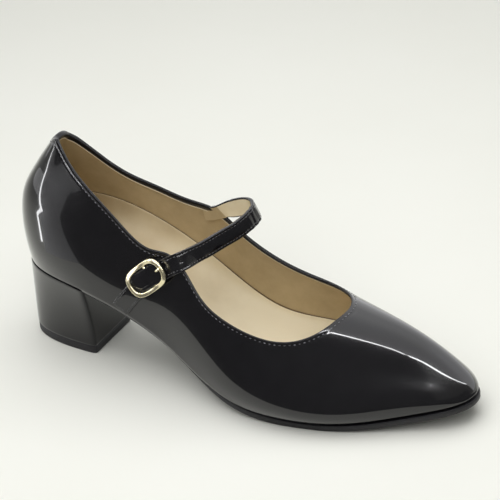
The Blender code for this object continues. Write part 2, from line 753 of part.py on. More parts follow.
def make_prong():
    """The buckle's tongue, from beside the bar up through the strap's hole and onto the frame's end."""
    middle, long, _, normal = buckle_axes()
    points = [middle + long * along * MM + normal * off * MM for along, off in PRONG_LINE]
    return make_rod("buckle_prong", points, PRONG_RADIUS, PRONG_STEPS)


def set_down():
    """Moves everything so that the origin is on the floor, under the middle of the shoe's box."""
    things = list(bpy.data.objects)
    points = [np.array([vertex.co for vertex in thing.data.vertices]) for thing in things]
    shown = np.concatenate([group for thing, group in zip(things, points) if not thing.hide_render])
    low, high = shown.min(axis=0), shown.max(axis=0)
    shift = np.array([-(low[0] + high[0]) / 2, -(low[1] + high[1]) / 2, 0])
    for thing, group in zip(things, points):
        thing.data.vertices.foreach_set("co", (group + shift).ravel())
        thing.data.update()


def main():
    """Clears the scene, makes every piece and sets the shoe down."""
    for old in list(bpy.data.objects):
        bpy.data.objects.remove(old, do_unlink=True)
    for make in (
        make_upper,
        make_insole,
        make_outsole,
        make_heel,
        make_toplift,
        make_strap,
        make_tab,
        make_frame,
        make_prong,
    ):
        make()
    set_down()


if __name__ == "__main__":
    main()
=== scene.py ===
"""A right strap pump in black patent leather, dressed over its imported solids.

Metres, +Z up. +X runs from heel to toe, +Y to the medial side and -Y to the lateral side, where the
buckle is. Shapes are first worked out in the last's own coordinates, with x from 0 at the heel's back,
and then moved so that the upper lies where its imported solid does.
"""

from __future__ import annotations

import logging
from dataclasses import dataclass, field
from enum import Enum
from typing import NamedTuple, Optional, Sequence

import bmesh
import bpy
import numpy as np
from mathutils import Matrix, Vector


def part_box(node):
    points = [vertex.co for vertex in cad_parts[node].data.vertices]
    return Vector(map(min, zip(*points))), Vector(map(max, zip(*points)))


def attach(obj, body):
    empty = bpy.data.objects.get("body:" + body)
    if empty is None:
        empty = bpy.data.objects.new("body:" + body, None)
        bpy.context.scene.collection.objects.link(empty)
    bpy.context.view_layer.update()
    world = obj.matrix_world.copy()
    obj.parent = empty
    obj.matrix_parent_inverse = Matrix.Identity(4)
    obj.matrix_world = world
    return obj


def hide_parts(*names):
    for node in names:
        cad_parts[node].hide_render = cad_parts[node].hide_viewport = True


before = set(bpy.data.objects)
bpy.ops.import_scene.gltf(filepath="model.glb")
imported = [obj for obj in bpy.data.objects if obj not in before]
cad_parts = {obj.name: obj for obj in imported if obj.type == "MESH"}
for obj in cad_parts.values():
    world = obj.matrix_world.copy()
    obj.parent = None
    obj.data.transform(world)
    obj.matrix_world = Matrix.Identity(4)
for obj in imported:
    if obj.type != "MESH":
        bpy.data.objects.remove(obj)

Array = np.ndarray
Thing = bpy.types.Object
Look = bpy.types.Material
Socket = bpy.types.NodeSocket
LOG = logging.getLogger("pump")
MM = 0.001
TINY = 1e-12
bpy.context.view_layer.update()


# ---------------------------------------------------------------- curves and meshes


def table(kind: type, scales: Sequence[float], *rows: Sequence[float]) -> tuple:
    """Rows of numbers as named tuples of one kind, each column times its scale."""
    return tuple(kind(*(value * scale for value, scale in zip(row, scales))) for row in rows)


def spline(knots: Sequence[float], values: Sequence[float], at: Array) -> Array:
    """A natural cubic spline, straight beyond its ends.

    Args:
        knots: where the values are given, rising.
        values: the values there.
        at: where the curve is wanted.

    Returns:
        The curve's values, in the shape of at.
    """
    knots, values, at = (np.asarray(given, float) for given in (knots, values, at))
    steps = np.diff(knots)
    slopes = np.diff(values) / steps
    size = len(knots)
    system, right = np.eye(size), np.zeros(size)
    for i in range(1, size - 1):
        system[i, i - 1 : i + 2] = steps[i - 1], 2 * (steps[i - 1] + steps[i]), steps[i]
        right[i] = 6 * (slopes[i] - slopes[i - 1])
    bend = np.linalg.solve(system, right)
    inside = np.clip(at, knots[0], knots[-1])
    i = np.clip(np.searchsorted(knots, inside, side="right") - 1, 0, size - 2)
    h = steps[i]
    a = (knots[i + 1] - inside) / h
    b = 1 - a
    found = a * values[i] + b * values[i + 1]
    found = found + ((a**3 - a) * bend[i] + (b**3 - b) * bend[i + 1]) * h**2 / 6
    start = slopes[0] - steps[0] * bend[1] / 6
    end = slopes[-1] + steps[-1] * bend[-2] / 6
    return found + start * np.minimum(at - knots[0], 0) + end * np.maximum(at - knots[-1], 0)


def basis(at: Array, count: int) -> Array:
    """The clamped cubic B-spline weights of control points.

    Args:
        at: places from 0 to 1.
        count: how many control points.

    Returns:
        The weights, in the shape of at with one more axis.
    """
    at = np.clip(np.asarray(at, float), 0, 1 - TINY)[..., None]
    knots = np.concatenate([[0, 0, 0], np.linspace(0, 1, count - 2), [1, 1, 1]])
    weights = ((at >= knots[:-1]) & (at < knots[1:])).astype(float)
    for degree in (1, 2, 3):
        spans = len(knots) - degree - 1
        near, far = knots[:spans], knots[degree + 1 : degree + 1 + spans]
        left = knots[degree : degree + spans] - near
        right = far - knots[1 : 1 + spans]
        rising = (at - near) / np.where(left > 0, left, 1) * (left > 0)
        falling = (far - at) / np.where(right > 0, right, 1)
        weights = rising * weights[..., :spans] + falling * (right > 0) * weights[..., 1 : spans + 1]
    return weights


def unit(vectors: Array) -> Array:
    """The vectors at length one."""
    return vectors / np.maximum(np.linalg.norm(vectors, axis=-1, keepdims=True), TINY)


def ways(path: Array) -> Array:
    """The way from the first row to each row along a line of points, or along many lines side by side."""
    steps = np.linalg.norm(np.diff(path, axis=0), axis=-1)
    return np.concatenate([0 * steps[:1], np.cumsum(steps, 0)])


def eased(share: Array) -> Array:
    """A soft step from 0 to 1: 3 s^2 - 2 s^3 of the share, held between 0 and 1."""
    share = np.clip(share, 0, 1)
    return share * share * (3 - 2 * share)


def close_ends(count: int, share: float = 1.0) -> Array:
    """Numbers from 0 to 1 that lie closer at both ends: share (0.5 - 0.5 cos(pi t)) + (1 - share) t."""
    even = np.linspace(0, 1, count)
    return share * (0.5 - 0.5 * np.cos(np.pi * even)) + (1 - share) * even


class Hill(NamedTuple):
    """A soft hill, or a trough where its height is below 0: its middle, its half width and its height."""

    at: float
    width: float
    height: float

    def lift(self, way: Array) -> Array:
        """How high it stands at a way: height exp(-((way - at) / width)^2)."""
        return self.height * np.exp(-(((way - self.at) / self.width) ** 2))


def pick(rows: Array, at: Array, knots: Optional[Array] = None) -> Array:
    """The rows of a table at places between its knots, which are its row numbers if left out."""
    knots = np.arange(len(rows)) if knots is None else knots
    return np.stack([np.interp(at, knots, column) for column in rows.T], -1)


def power_wave(angle: Array, roundness: float) -> tuple[Array, Array]:
    """The two coordinates of a superellipse of half sizes one, |x|^r + |y|^r = 1, at the angles."""
    power = 2 / roundness
    cos, sin = np.cos(angle), np.sin(angle)
    return np.sign(cos) * np.abs(cos) ** power, np.sign(sin) * np.abs(sin) ** power


def smooth_path(points: Array, count: int, spread: Optional[Array] = None) -> tuple[Array, Array]:
    """Places and unit directions along a natural spline through the given points.

    Args:
        points: rows whose first three columns are a place; further columns are carried along.
        count: how many places are wanted.
        spread: where they lie, as shares of the way; even if left out.

    Returns:
        The rows along the path, and the unit direction of the path at each.
    """
    points = np.asarray(points, float)
    knots = ways(points[:, :3])
    at = (np.linspace(0, 1, count) if spread is None else spread) * knots[-1]
    path = np.stack([spline(knots, column, at) for column in points.T], -1)
    return path, unit(np.gradient(path[:, :3], at, axis=0))


def ribbon(middle: Array, along: Array, rear: Array, width: Array, profile: Array) -> Array:
    """Carries a profile along a line.

    Args:
        middle: (n, 3), the line.
        along: (n, 3), its directions.
        rear: (n, 3), the way to the ribbon's upper edge.
        width: (n,), its half widths.
        profile: (n, k, 2) or (k, 2): shares of the half width, and metres off the line.

    Returns:
        (n, k, 3).
    """
    rear = unit(rear)
    off = unit(np.cross(rear, along))
    profile = np.broadcast_to(profile, (len(middle),) + profile.shape[-2:])
    sideways = rear[:, None] * (profile[..., :1] * width[:, None, None])
    return middle[:, None] + sideways + off[:, None] * profile[..., 1:]


def grid_faces(rows: int, columns: int, round_rows: bool, round_columns: bool) -> Array:
    """Quads between neighbouring points of a grid, wrapping where it is closed: (n, 4) point numbers."""
    row = np.arange(rows if round_rows else rows - 1)
    column = np.arange(columns if round_columns else columns - 1)
    r, c = np.meshgrid(row, column, indexing="ij")
    down, along = (r + 1) % rows, (c + 1) % columns
    corners = (r * columns + c, r * columns + along, down * columns + along, down * columns + c)
    return np.stack(corners, -1).reshape(-1, 4)


def add_mesh(name: str, points: Array, quads: Array, triangles: Optional[Array] = None) -> Thing:
    """Makes an object of quads and triangles, faced outwards if it is closed, shaded smooth.

    Args:
        name: the piece's name.
        points: (n, 3), in the last's coordinates.
        quads: (m, 4) point numbers.
        triangles: (k, 3) point numbers, or nothing.

    Returns:
        The object, in the scene's collection.
    """
    triangles = np.zeros((0, 3), int) if triangles is None else triangles
    placed = points + LAST.shift
    corner = placed[np.concatenate([quads[:, :3], quads[:, [0, 2, 3]], triangles])]
    if np.einsum("ij,ij->", corner[:, 0], np.cross(corner[:, 1], corner[:, 2])) < 0:
        quads, triangles = quads[:, ::-1], triangles[:, ::-1]
    loops = np.concatenate([quads.ravel(), triangles.ravel()]).astype(np.int32)
    starts = np.concatenate([np.arange(len(quads)) * 4, len(quads) * 4 + np.arange(len(triangles)) * 3])
    mesh = bpy.data.meshes.new(name)
    mesh.vertices.add(len(placed))
    mesh.vertices.foreach_set("co", placed.astype(np.float32).ravel())
    mesh.loops.add(len(loops))
    mesh.loops.foreach_set("vertex_index", loops)
    mesh.polygons.add(len(starts))
    mesh.polygons.foreach_set("loop_start", starts.astype(np.int32))
    mesh.update(calc_edges=True)
    mesh.validate()
    mesh.shade_smooth()
    thing = bpy.data.objects.new(name, mesh)
    bpy.context.scene.collection.objects.link(thing)
    return thing


def add_grid(name: str, grid: Array, round_rows: bool = False, caps: bool = False) -> Thing:
    """Makes an object of a grid of points that is closed round its columns.

    Args:
        name: the piece's name.
        grid: (rows, columns, 3).
        round_rows: whether the last row joins the first.
        caps: whether a fan to its middle closes the first and the last row.

    Returns:
        The object.
    """
    rows, columns = grid.shape[:2]
    points = grid.reshape(-1, 3)
    quads = grid_faces(rows, columns, round_rows, True)
    if not caps:
        return add_mesh(name, points, quads)
    around = np.arange(columns)
    after = (around + 1) % columns
    last_row = (rows - 1) * columns
    low = np.stack([after, around, np.full(columns, len(points))], -1)
    high = np.stack([last_row + around, last_row + after, np.full(columns, len(points) + 1)], -1)
    points = np.concatenate([points, [grid[0].mean(0), grid[-1].mean(0)]])
    return add_mesh(name, points, quads, np.concatenate([low, high]))


def weld(thing: Thing, reach: float = 0.02 * MM) -> None:
    """Joins the points of a piece that lie on each other, such as along its middle line."""
    shape = bmesh.new()
    shape.from_mesh(thing.data)
    bmesh.ops.remove_doubles(shape, verts=shape.verts, dist=reach)
    shape.to_mesh(thing.data)
    shape.free()
    thing.data.shade_smooth()


def sharpen(thing: Thing, degrees: float) -> None:
    """Marks edges steeper than an angle as sharp, so that flat faces next to them look flat."""
    thing.data.set_sharp_from_angle(angle=np.radians(degrees))


def hand_in(thing: Thing, slot: str, looks: Sequence[Look], *nodes: str) -> None:
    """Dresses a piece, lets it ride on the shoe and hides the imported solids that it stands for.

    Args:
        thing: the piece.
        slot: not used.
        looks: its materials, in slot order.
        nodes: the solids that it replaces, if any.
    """
    for look in looks:
        thing.data.materials.append(look)
    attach(thing, "root")
    if nodes:
        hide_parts(*nodes)
    LOG.info("%s: %d faces", thing.name, len(thing.data.polygons))


# ---------------------------------------------------------------- the last


class Side(Enum):
    """A side of the shoe, with the sign of y on it."""

    LATERAL = -1
    MEDIAL = 1


class Level(Enum):
    """A level of the sections, as (radius at the heel's back, radius at the toe's tip, height at the tip).

    The radii are in mm and the height is a share of the ridge's; the ridge has no radius at the back.
    """

    FEATHER = (17, 12, 0.0)
    BULGE = (22, 14, 0.30)
    SHOULDER = (16, 9, 0.72)
    RIDGE = (0, 7, 1.0)


class Section(NamedTuple):
    """A section of the last: shares of the length, the heel height, the ball width and the instep."""

    station: float
    seat: float
    centre: float
    feather_lateral: float
    feather_medial: float
    bulge_lateral: float
    bulge_medial: float
    shoulder_lateral: float
    shoulder_medial: float
    bulge: float
    shoulder: float
    ridge: float


class TopPoint(NamedTuple):
    """A point of the topline: the share of each side's way from feather edge to ridge."""

    station: float
    lateral: float
    medial: float


@dataclass
class Last:
    """The last that everything is made on, and the upper's grid over it."""

    length: float = 250 * MM
    ball_width: float = 78 * MM
    heel_height: float = 49 * MM
    instep: float = 60 * MM
    wall_foot: float = 0.5
    wall_head: float = 1.3
    crown: float = 0.5
    toe_swing: float = 3 * MM
    throat: float = 0.735
    back_fade: int = 6
    back_rise: tuple = (0 * MM, 24 * MM, 46 * MM, 70 * MM)
    back_forward: tuple = (1.0 * MM, -0.8 * MM, 3.5 * MM, 19.0 * MM)
    sections: tuple = table(
        Section,
        (1,) * len(Section._fields),
        (0.08, 0.965, -0.010, 0.275, 0.300, 0.305, 0.310, 0.155, 0.155, 0.38, 1.13, 2.08),
        (0.20, 0.920, -0.030, 0.345, 0.335, 0.355, 0.340, 0.205, 0.200, 0.34, 1.04, 1.82),
        (0.36, 0.580, -0.030, 0.365, 0.320, 0.365, 0.335, 0.275, 0.290, 0.30, 0.91, 1.60),
        (0.52, 0.190, -0.060, 0.455, 0.370, 0.485, 0.410, 0.330, 0.350, 0.26, 0.82, 1.22),
        (0.66, 0.072, -0.025, 0.470, 0.440, 0.560, 0.480, 0.345, 0.390, 0.21, 0.65, 0.90),
        (0.80, 0.106, 0.012, 0.400, 0.375, 0.465, 0.410, 0.290, 0.290, 0.16, 0.44, 0.70),
        (0.92, 0.205, 0.036, 0.255, 0.225, 0.275, 0.250, 0.170, 0.170, 0.11, 0.27, 0.40),
    )
    topline: tuple = table(
        TopPoint,
        (1, 1, 1),
        (0.000, 0.530, 0.530),
        (0.020, 0.556, 0.503),
        (0.060, 0.563, 0.486),
        (0.120, 0.518, 0.449),
        (0.200, 0.447, 0.357),
        (0.270, 0.368, 0.340),
        (0.340, 0.313, 0.363),
        (0.385, 0.370, 0.425),
        (0.420, 0.360, 0.460),
        (0.460, 0.260, 0.420),
        (0.520, 0.190, 0.350),
        (0.600, 0.100, 0.210),
        (0.660, 0.000, 0.120),
        (0.735, -0.100, 0.080),
    )
    solid_columns: int = 48
    solid_rows: int = 10
    trial_steps: int = 41
    outline_steps: int = 481
    outline_shares: int = 60
    outline_reach: float = 0.45
    small_step: float = 1e-3
    least_cos: float = 1e-9
    shift: Array = field(default_factory=lambda: np.zeros(3))

    def settle(self) -> None:
        """Finds the way from the last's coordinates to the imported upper's place."""
        columns = np.arange(-self.solid_columns, self.solid_columns) / self.solid_columns
        column, row = np.meshgrid(columns, np.linspace(0, 1, self.solid_rows + 1))
        own = self.surface(column, row).reshape(-1, 3)
        low, high = (np.array(corner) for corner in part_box("upper"))
        self.shift = (low + high - own.min(0) - own.max(0)) / 2
        self.shift[2] = 0

    @staticmethod
    def station_of(turn: Array) -> Array:
        """The share of the length at a turn, from 0 at the heel's back to 1 at the toe's tip."""
        return np.sin(np.pi / 2 * np.asarray(turn)) ** 2

    @staticmethod
    def turn_of(station: Array) -> Array:
        """The turn at a station."""
        return 2 / np.pi * np.arcsin(np.sqrt(station))

    def listed(self, name: str) -> Array:
        """One column of the sections."""
        return np.array([getattr(section, name) for section in self.sections])

    def half_width(self, level: Level, side: Side, station: Array) -> Array:
        """The half width at a level: a spline times sqrt(s (1 - s)), so that both ends are round."""
        own = self.listed("station")
        wide = self.listed(f"{level.name}_{side.name}".lower()) * self.ball_width / np.sqrt(own * (1 - own))
        heel, toe = (np.sqrt(2 * (radius * MM) * self.length) for radius in level.value[:2])
        curve = spline([0, *own, 1], [heel, *wide, toe], station)
        return curve * np.sqrt(np.clip(station * (1 - station), 0, None))

    def rise(self, level: Level, station: Array) -> Array:
        """A level's height above the seat: a spline times sqrt(1 - s), so that the toe's tip is round."""
        own = self.listed("station")
        high = self.listed(level.name.lower()) * self.instep / np.sqrt(1 - own)
        tip = level.value[2] * np.sqrt(2 * (Level.RIDGE.value[1] * MM) * self.length)
        return spline([*own, 1], [*high, tip], station) * np.sqrt(np.clip(1 - station, 0, None))

    def seat(self, station: Array) -> Array:
        """The height of the last's bottom above the floor."""
        return spline(self.listed("station"), self.listed("seat") * self.heel_height, station)

    def centre(self, station: Array) -> Array:
        """How far the last's middle lies to the medial side of its long axis."""
        offsets = [0, *self.listed("centre") * self.ball_width, self.toe_swing]
        return spline([0, *self.listed("station"), 1], offsets, station)

    def leaned(self, station: Array, height: Array) -> Array:
        """How far forward of its station a point lies: the back's curve, fading along the shoe."""
        return spline(self.back_rise, self.back_forward, height) * (1 - station) ** self.back_fade

    def half_section(self, station: Array, side: Side) -> Array:
        """The control points of one side of the sections, from feather edge to ridge: (..., 6, 2)."""
        feather, bulge, shoulder = (
            self.half_width(level, side, station) for level in (Level.FEATHER, Level.BULGE, Level.SHOULDER)
        )
        low, high, ridge = (self.rise(level, station) for level in (Level.BULGE, Level.SHOULDER, Level.RIDGE))
        none = np.zeros_like(feather)
        across = np.stack([feather, bulge, bulge, shoulder, self.crown * shoulder, none], -1)
        up = np.stack([none, self.wall_foot * low, self.wall_head * low, high, ridge, ridge], -1)
        return np.stack([across, up], -1)

    def points(self, turn: Array, side: Array, share: Array) -> Array:
        """Points of the last: a B-spline section at the turn, at a share of its way from feather to ridge.

        Args:
            turn: 0 at the heel's back, 1 at the toe's tip.
            side: -1 lateral or 1 medial.
            share: 0 at the feather edge, 1 at the ridge.

        Returns:
            The points, (..., 3).
        """
        turn, side, share = np.broadcast_arrays(np.asarray(turn, float), side, share)
        station = self.station_of(turn)
        lateral, medial = (self.half_section(station, one) for one in Side)
        own = (side < 0)[..., None, None]
        near, far = np.where(own, lateral, medial), np.where(own, medial, lateral)
        control = np.concatenate([near, far[..., -2::-1, :] * (-1, 1)], -2)
        count = control.shape[-2]
        trial = np.linspace(0, 0.5, self.trial_steps)
        path = np.einsum("kc,...cd->...kd", basis(trial, count), control)
        steps = np.linalg.norm(np.diff(path, axis=-2), axis=-1)
        length = np.concatenate([np.zeros(steps.shape[:-1] + (1,)), np.cumsum(steps, -1)], -1)
        length = length / np.maximum(length[..., -1:], TINY)
        before = np.clip((length < share[..., None]).sum(-1) - 1, 0, self.trial_steps - 2)[..., None]
        low = np.take_along_axis(length, before, -1)[..., 0]
        high = np.take_along_axis(length, before + 1, -1)[..., 0]
        part = np.clip((share - low) / np.maximum(high - low, TINY), 0, 1)
        where = (before[..., 0] + part) * (trial[1] - trial[0])
        yz = np.einsum("...c,...cd->...d", basis(where, count), control)
        x = station * self.length + self.leaned(station, yz[..., 1])
        y = self.centre(station) + side * yz[..., 0]
        return np.stack([x, y, self.seat(station) + yz[..., 1]], -1)

    def normals(self, turn: Array, side: Array, share: Array) -> Array:
        """The outward normals of the last at places on it."""
        step = self.small_step
        share = np.clip(share, step, 1 - step)
        turn = np.clip(turn, step, 1 - step)
        along = self.points(turn + step, side, share) - self.points(turn - step, side, share)
        up = self.points(turn, side, share + step) - self.points(turn, side, share - step)
        return unit(np.cross(up, along) * np.asarray(side, float)[..., None])

    def top_share(self, turn: Array, side: Array) -> Array:
        """The topline's share at a turn, before it closes at the throat."""
        knots, *sides = zip(*self.topline)
        lateral, medial = (spline(knots, shares, self.station_of(turn)) for shares in sides)
        return np.where(np.asarray(side) < 0, lateral, medial)

    def place(self, column: Array, row: Array) -> tuple[Array, Array, Array]:
        """(turn, side, share) of the upper's grid.

        Args:
            column: round the shoe, 0 at the heel's back, 1 and -1 at the toe's tip; it wraps.
            row: 0 at the feather edge, 1 at the topline.

        Returns:
            The places on the last.
        """
        column = (np.asarray(column, float) + 1) % 2 - 1
        way = np.abs(column)
        side = np.where(column < 0, -1, 1)
        top_turn = self.turn_of(self.throat) * np.sin(np.pi / 2 * way)
        top = 1 - (1 - self.top_share(top_turn, side)) * np.cos(np.pi / 2 * way)
        turn = way + (top_turn - way) * row
        low = np.cos(np.pi / 2 * way)
        high = (1 - top) * np.cos(np.pi / 2 * top_turn)
        share = 1 - (low + (high - low) * row) / np.maximum(np.cos(np.pi / 2 * turn), self.least_cos)
        return turn, side, np.where(row > 0, np.clip(share, 0, 1), 0)

    def surface(self, column: Array, row: Array) -> Array:
        """Points of the upper's outer face."""
        return self.points(*self.place(*np.broadcast_arrays(column, row)))

    def facing(self, column: Array, row: Array) -> tuple[Array, Array]:
        """The outward normals of the upper's outer face, and the unit ways up it to the topline."""
        column, row = np.broadcast_arrays(np.asarray(column, float), np.asarray(row, float))
        step = self.small_step
        around = self.surface(column + step, row) - self.surface(column - step, row)
        high, low = np.clip(row + step, 0, 1), np.clip(row - step, 0, 1)
        up = self.surface(column, high) - self.surface(column, low)
        return unit(np.cross(up, around)), unit(up)

    def outline(self, turns: Array, height: Array, margin: Array) -> tuple[Array, Array]:
        """The last's outline at a height above the seat, moved out by a margin.

        Args:
            turns: where it is wanted.
            height: above the seat, one number or one for each turn.
            margin: likewise.

        Returns:
            x, y of the lateral and of the medial side, each (n, 2).
        """
        fine = np.linspace(0, 1, self.outline_steps)
        levels = np.stack([np.broadcast_to(one, len(turns)) for one in (height, margin)], -1)
        heights, margins = pick(levels, fine, turns).T
        stations = self.station_of(fine)
        x = stations * self.length + self.leaned(stations, heights)
        shares = np.linspace(0, self.outline_reach, self.outline_shares)
        sides = []
        for side in (-1, 1):
            path = self.points(fine[:, None], side, shares[None])
            across = np.abs(path[..., 1] - self.centre(stations)[:, None])
            above = path[..., 2] - self.seat(stations)[:, None]
            wide = np.array([np.interp(*row) for row in zip(heights, above, across)])
            y = self.centre(stations) + side * wide
            along_x, along_y = np.gradient(x), np.gradient(y)
            along_x[[0, -1]] = 0
            size = np.hypot(along_x, along_y)
            moved = (x - side * margins * along_y / size, y + side * margins * along_x / size)
            sides.append(pick(np.stack(moved, -1), turns, fine))
        return sides[0], sides[1]


LAST = Last()


def ring_of(sides: tuple[Array, Array], z: Array, shared: bool) -> Array:
    """One ring from both sides' outlines: forward on the lateral side and back on the medial one.

    Args:
        sides: (n, 2) x, y of the lateral and of the medial side.
        z: their heights.
        shared: whether the sides share their first point as well as the toe's tip.

    Returns:
        The ring's points, (m, 3).
    """
    lateral, medial = (np.column_stack([side, z]) for side in sides)
    return np.concatenate([lateral, medial[-2 : 0 if shared else None : -1]])


def bead(ring: Array, out: Array, up: Array, half_width: float, half_height: float) -> Array:
    """A thin closed bead round a ring of points: eight points of an ellipse about each."""
    angle = np.arange(8)[:, None, None] * np.pi / 4
    return ring + out * np.cos(angle) * half_width + up * np.sin(angle) * half_height


# ---------------------------------------------------------------- finishes


def linear(code: str) -> tuple[float, float, float, float]:
    """The linear colour of an sRGB hex code such as "8a7b5c"."""
    values = np.array([int(code[i : i + 2], 16) / 255 for i in (0, 2, 4)])
    values = np.where(values <= 0.04045, values / 12.92, ((values + 0.055) / 1.055) ** 2.4)
    return (*map(float, values), 1.0)


class Bench:
    """A material being put together."""

    def __init__(self, name: str) -> None:
        """Starts a material with its Principled shader and its object coordinates."""
        self.material = bpy.data.materials.new(name)
        self.material.use_nodes = True
        self.tree = self.material.node_tree
        self.shader = self.tree.nodes["Principled BSDF"]
        self.where = self.add("ShaderNodeTexCoord").outputs["Object"]

    def add(self, kind: str, inputs: Optional[dict] = None, **settings: object) -> bpy.types.Node:
        """Adds a node.

        Args:
            kind: its Blender type.
            inputs: socket names or numbers with a value or another node's output.
            settings: attributes of the node.

        Returns:
            The node.
        """
        node = self.tree.nodes.new(kind)
        for key, value in settings.items():
            setattr(node, key, value)
        for key, value in (inputs or {}).items():
            if isinstance(value, Socket):
                self.tree.links.new(value, node.inputs[key])
            else:
                node.inputs[key].default_value = value
        return node

    def noise(self, size: float, detail: float = 2.0, roughness: float = 0.5) -> Socket:
        """Even noise whose spots are about size metres across."""
        values = {"Vector": self.where, "Scale": 1 / size, "Detail": detail, "Roughness": roughness}
        return self.add("ShaderNodeTexNoise", values).outputs["Fac"]

    def grey(self, fac: Socket, low: float, high: float, start: float = 0.0, end: float = 1.0) -> Socket:
        """fac from start to end carried to low to high."""
        values = {"Value": fac, "From Min": start, "From Max": end, "To Min": low, "To Max": high}
        return self.add("ShaderNodeMapRange", values).outputs["Result"]

    def blend(self, fac: Socket, dark: str, light: str, start: float = 0.3, end: float = 0.7) -> Socket:
        """A ramp from one hex colour where fac is start to another where it is end."""
        node = self.add("ShaderNodeValToRGB", {"Fac": fac})
        for element, place, code in zip(node.color_ramp.elements, (start, end), (dark, light)):
            element.position = place
            element.color = linear(code)
        return node.outputs["Color"]

    def set(self, **sockets: object) -> None:
        """Sets the shader's sockets, with _ for a space in their names."""
        for key, value in sockets.items():
            socket = self.shader.inputs[key.replace("_", " ")]
            if isinstance(value, Socket):
                self.tree.links.new(value, socket)
            else:
                socket.default_value = value

    def relief(self, *layers: tuple[float, float, float, float]) -> None:
        """Bumps the surface by layers of noise, each (size, detail, roughness, depth in metres)."""
        inputs = {"Strength": 1.0}
        for *spots, depth in layers:
            inputs |= {"Height": self.noise(*spots), "Distance": depth}
            inputs["Normal"] = self.add("ShaderNodeBump", inputs).outputs["Normal"]
        self.set(Normal=inputs["Normal"])


@dataclass(frozen=True)
class Finish:
    """A finish, whose paint method sets up its shader."""

    name: str
    dark: str
    light: str

    def make(self) -> Look:
        """The finished material."""
        bench = Bench(self.name)
        self.paint(bench)
        return bench.material

    def paint(self, bench: Bench) -> None:
        """Sets up the shader."""
        raise NotImplementedError


@dataclass(frozen=True)
class PatentLeather(Finish):
    """Black patent leather: a cloudy dark base under a thick, mirror-smooth lacquer, never quite flat."""

    name: str = "patent leather"
    dark: str = "0f0e11"
    light: str = "141316"
    coat: float = 1.0
    coat_roughness: float = 0.035
    orange_peel: float = 0.012 * MM
    sway: float = 0.05 * MM
    under_shine: float = 0.15

    def paint(self, bench: Bench) -> None:
        """Sets up the shader."""
        bench.set(Base_Color=bench.blend(bench.noise(9 * MM, 3), self.dark, self.light, 0.3, 0.75))
        bench.set(Roughness=bench.grey(bench.noise(1.6 * MM, 4), 0.14, 0.22))
        bench.set(Specular_IOR_Level=self.under_shine)
        bench.set(Coat_Weight=self.coat, Coat_Roughness=self.coat_roughness, Coat_IOR=1.48)
        # The ripple of the lacquer bends long reflections, and its peel breaks up their edges.
        bench.relief((14 * MM, 1, 0.5, self.sway), (1.3 * MM, 1, 0.5, self.orange_peel))


@dataclass(frozen=True)
class LiningLeather(Finish):
    """Pale lining leather: matte, with fine pores and soft cloudy shade."""

    def paint(self, bench: Bench) -> None:
        """Sets up the shader."""
        bench.set(Base_Color=bench.blend(bench.noise(12 * MM, 5, 0.6), self.dark, self.light))
        bench.set(Roughness=bench.grey(bench.noise(2 * MM, 3), 0.5, 0.68), Specular_IOR_Level=0.35)
        # The pores are drawn a few times as coarse as real ones, or they would not show.
        bench.relief((0.6 * MM, 3, 0.6, 0.05 * MM), (5 * MM, 2, 0.5, 0.12 * MM))


@dataclass(frozen=True)
class SockLeather(Finish):
    """The pale sock, painted darker towards the heel cup as painted shade, its colour running along the shoe.
    """

    name: str = "sock leather"
    dark: str = "b09a74"
    light: str = "ece0c3"

    def paint(self, bench: Bench) -> None:
        """Sets up the shader."""
        along = bench.add("ShaderNodeSeparateXYZ", {"Vector": bench.where}).outputs["X"]
        cloud = bench.grey(bench.noise(16 * MM, 4), 0.22, 0.78)
        # Painted shade: the colour darkens from the shoe's middle back into the heel cup; the cloud is the
        # leather's own mottling.
        painted_heel_shade_and_cloud = {0: bench.grey(along, 0, 0.85, -0.10, 0.0), 1: cloud}
        place = bench.add("ShaderNodeMath", painted_heel_shade_and_cloud, operation="ADD").outputs[0]
        bench.set(Base_Color=bench.blend(bench.grey(place, 0, 1, 0.35, 1.3), self.dark, self.light, 0.0, 1.0))
        bench.set(Roughness=bench.grey(bench.noise(1.5 * MM, 3), 0.55, 0.75), Specular_IOR_Level=0.3)
        # Fine pores, drawn coarser than real ones so that they show, and the dents that a foot leaves.
        bench.relief((0.7 * MM, 3, 0.6, 0.05 * MM), (9 * MM, 2, 0.5, 0.2 * MM))


@dataclass(frozen=True)
class BlackRubber(Finish):
    """Black rubber or resin of the sole and the top piece: satin, with a faint moulded grain."""

    smooth: float = 0.46

    def paint(self, bench: Bench) -> None:
        """Sets up the shader."""
        bench.set(Base_Color=bench.blend(bench.noise(3 * MM, 4), self.dark, self.light))
        bench.set(Roughness=bench.grey(bench.noise(0.8 * MM, 3), self.smooth, self.smooth + 0.15))
        # A mould leaves a finer grain, which would not show.
        bench.relief((0.5 * MM, 2, 0.5, 0.02 * MM))


@dataclass(frozen=True)
class GoldPlate(Finish):
    """Pale gold plate, polished, with a little tarnish and a hardly uneven face that lets glints waver."""

    name: str = "pale gold plate"
    dark: str = "ecdfb6"
    light: str = "f6edcc"

    def paint(self, bench: Bench) -> None:
        """Sets up the shader."""
        bench.set(Base_Color=bench.blend(bench.noise(2.5 * MM, 2), self.dark, self.light))
        bench.set(Metallic=1.0, Roughness=bench.grey(bench.noise(0.9 * MM, 4), 0.18, 0.3))
        bench.relief((1.2 * MM, 1, 0.5, 0.004 * MM))


@dataclass(frozen=True)
class WaxedThread(Finish):
    """Waxed dark thread that catches a small light on each stitch."""

    def paint(self, bench: Bench) -> None:
        """Sets up the shader."""
        bench.set(Base_Color=bench.blend(bench.noise(2.2 * MM, 1), self.dark, self.light, 0.35))
        bench.set(Roughness=0.38, Sheen_Weight=0.3)
        bench.relief((0.2 * MM, 1, 0.5, 0.03 * MM))


